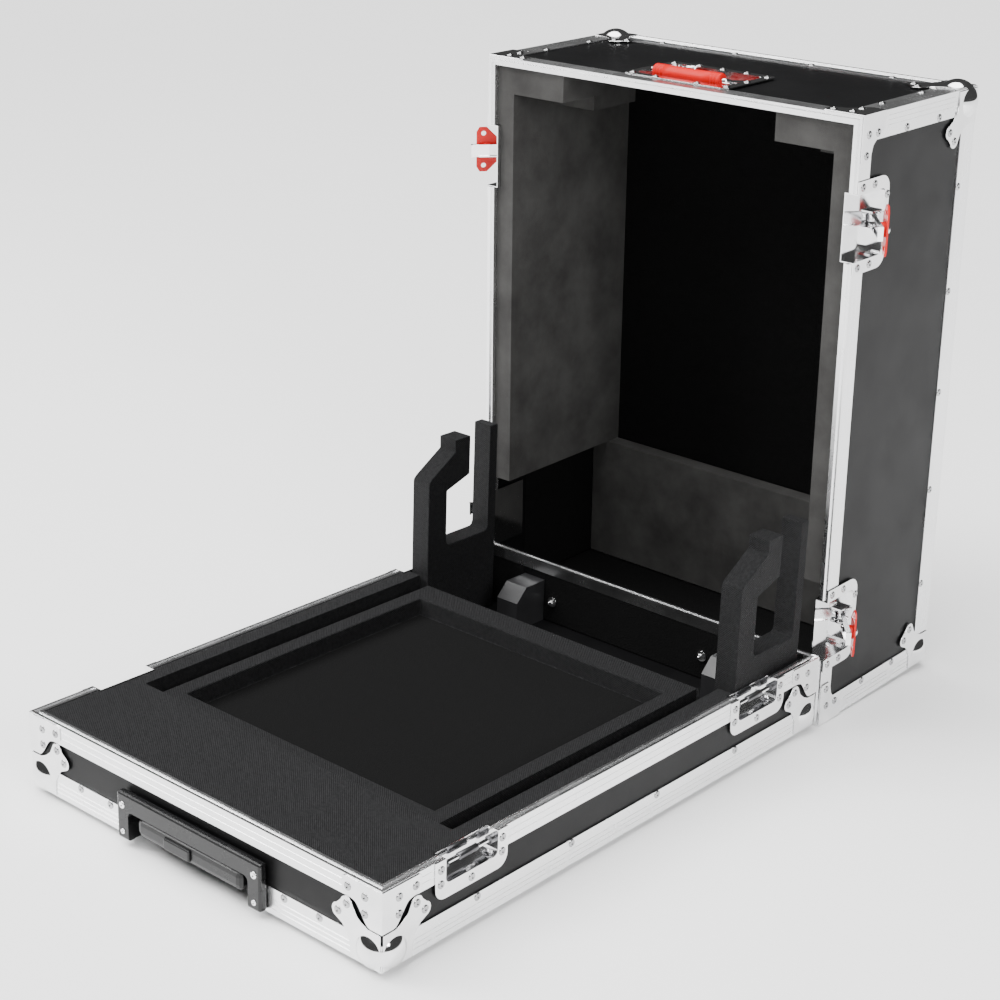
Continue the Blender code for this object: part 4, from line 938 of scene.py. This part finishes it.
shape = bmesh.new()
for x, z in ((-0.133, 0.0470), (0.110, 0.0490)):
    bolt = facing((x, bay_back - CLEAR - FLEECE, z), (0, -1, 0))
    add_ring_stack(shape, [(0.0070, -0.0002), (0.0070, 0.0012)], bolt, 24)                       # washer
    add_ring_stack(shape, [(0.0042, 0.0010), (0.0042, 0.0042), (0.0036, 0.0048)], bolt, 6)       # nut
    add_ring_stack(shape, [(0.0022, 0.0040), (0.0022, 0.0078), (0.0016, 0.0084)], bolt, 14)      # thread
bay_bolts = piece_from(shape, "bay_bolts", chrome, "tray")
soften_edges(bay_bolts, 0.0002)
print("screws and bolts made")

# %% [markdown]
# The shields are flat rings with a bore, so their rings close on themselves.

# %% Bearing shields on the wheels
for side in ("left", "right"):
    low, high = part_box("wheel_" + side)
    middle = (low + high) / 2
    half = (high.x - low.x) / 2
    shape = bmesh.new()
    for sign in (-1, 1):
        shield = facing(middle, (sign, 0, 0))
        steps = 28
        rings = [(0.0050, half - 0.0010), (0.0050, half + 0.0002),
                 (0.0110, half + 0.0002), (0.0122, half - 0.0010)]
        loops = []
        for radius, height in rings:
            loops.append([shape.verts.new(shield @ Vector((radius * math.cos(math.tau * s / steps),
                                                           radius * math.sin(math.tau * s / steps), height)))
                          for s in range(steps)])
        for first, second in zip(loops, loops[1:] + loops[:1]):
            for s in range(steps):
                after = (s + 1) % steps
                shape.faces.new((first[s], first[after], second[after], second[s]))
    piece_from(shape, "bearing_shields_" + side, zinc, "wheel_" + side)
print("bearing shields: 4 on 2 wheels")

# %% [markdown]
# Every rivet is on its list now, so they are drawn.

# %% Draw the rivets
for body in rivets:
    draw_rivets(body)
print("rivets:", {body: len(list_) for body, list_ in rivets.items()})

# %% [markdown]
# ## Floor, light and camera
#
# The case stands on a plain pale floor under a wide luminous ceiling, which lights the floor evenly out to
# the horizon.  The room itself is dim grey, so the bright metal has something dark to reflect as well.
# A soft box high on the left and a smaller one on the right shape the sides.

# %% Floor
floor_mesh = bpy.data.meshes.new("floor")
floor_shape = bmesh.new()
bmesh.ops.create_grid(floor_shape, x_segments=1, y_segments=1, size=150)
floor_shape.to_mesh(floor_mesh)
floor_shape.free()
floor = bpy.data.objects.new("floor", floor_mesh)
bpy.context.scene.collection.objects.link(floor)
floor_material, floor_tree, floor_shader = finish("pale floor", specular=0.2)
tint(floor_tree, floor_shader, (0.93, 0.93, 0.93), (0.95, 0.95, 0.95),
     use(floor_tree, clouds, Scale=0.8, Low=0.0, High=1.0))
floor_shader.inputs["Roughness"].default_value = 0.7
floor_mesh.materials.append(floor_material)

# %% [markdown]
# The ceiling is a sun with a very wide angle, which gives soft shadows and an even floor.

# %% Lights
world = bpy.data.worlds.new("grey room")
world.use_nodes = True
world.node_tree.nodes["Background"].inputs["Color"].default_value = (1, 1, 1, 1)
world.node_tree.nodes["Background"].inputs["Strength"].default_value = 0.06
bpy.context.scene.world = world


def soft_light(name, place, aim, size, power):
    """A large square area light turned to its aim."""
    light = bpy.data.lights.new(name, "AREA")
    light.size = size
    light.energy = power
    holder = bpy.data.objects.new(name, light)
    holder.location = place
    holder.rotation_euler = (Vector(aim) - Vector(place)).to_track_quat("-Z", "Y").to_euler()
    bpy.context.scene.collection.objects.link(holder)


soft_light("high left", (-2.4, -1.8, 2.6), (0, 0, 0.3), 1.6, 120)
soft_light("right", (2.8, -1.2, 1.8), (0, 0.1, 0.2), 1.2, 80)
ceiling_data = bpy.data.lights.new("ceiling", "SUN")
ceiling_data.energy = 7.0
ceiling_data.angle = math.radians(70)
ceiling = bpy.data.objects.new("ceiling", ceiling_data)
ceiling.rotation_euler = (math.radians(12), math.radians(-8), 0)
bpy.context.scene.collection.objects.link(ceiling)
print("lights: 2 soft boxes and a ceiling")

# %% [markdown]
# The camera stands at the front right, a little above the lid, and leans by under two degrees.

# %% Camera
AZIMUTH = math.radians(40.75)
ELEVATION = math.radians(20.60)
ROLL = math.radians(1.815)
camera_data = bpy.data.cameras.new("camera")
camera_data.lens = 74.95
camera_data.sensor_width = 36.0
view = Vector((-math.sin(AZIMUTH) * math.cos(ELEVATION), math.cos(AZIMUTH) * math.cos(ELEVATION),
               -math.sin(ELEVATION)))
level = Vector((math.cos(AZIMUTH), math.sin(AZIMUTH), 0))
upright = level.cross(view)
right = math.cos(ROLL) * level + math.sin(ROLL) * upright
up = -math.sin(ROLL) * level + math.cos(ROLL) * upright
camera = bpy.data.objects.new("camera", camera_data)
turn = Matrix((right, up, -view)).transposed().to_4x4()
camera.matrix_world = Matrix.Translation((1.4529, -1.7198, 1.1326)) @ turn
bpy.context.scene.collection.objects.link(camera)
bpy.context.scene.camera = camera
print("camera %.0f mm, %.1f degrees round" % (camera_data.lens, math.degrees(AZIMUTH)))
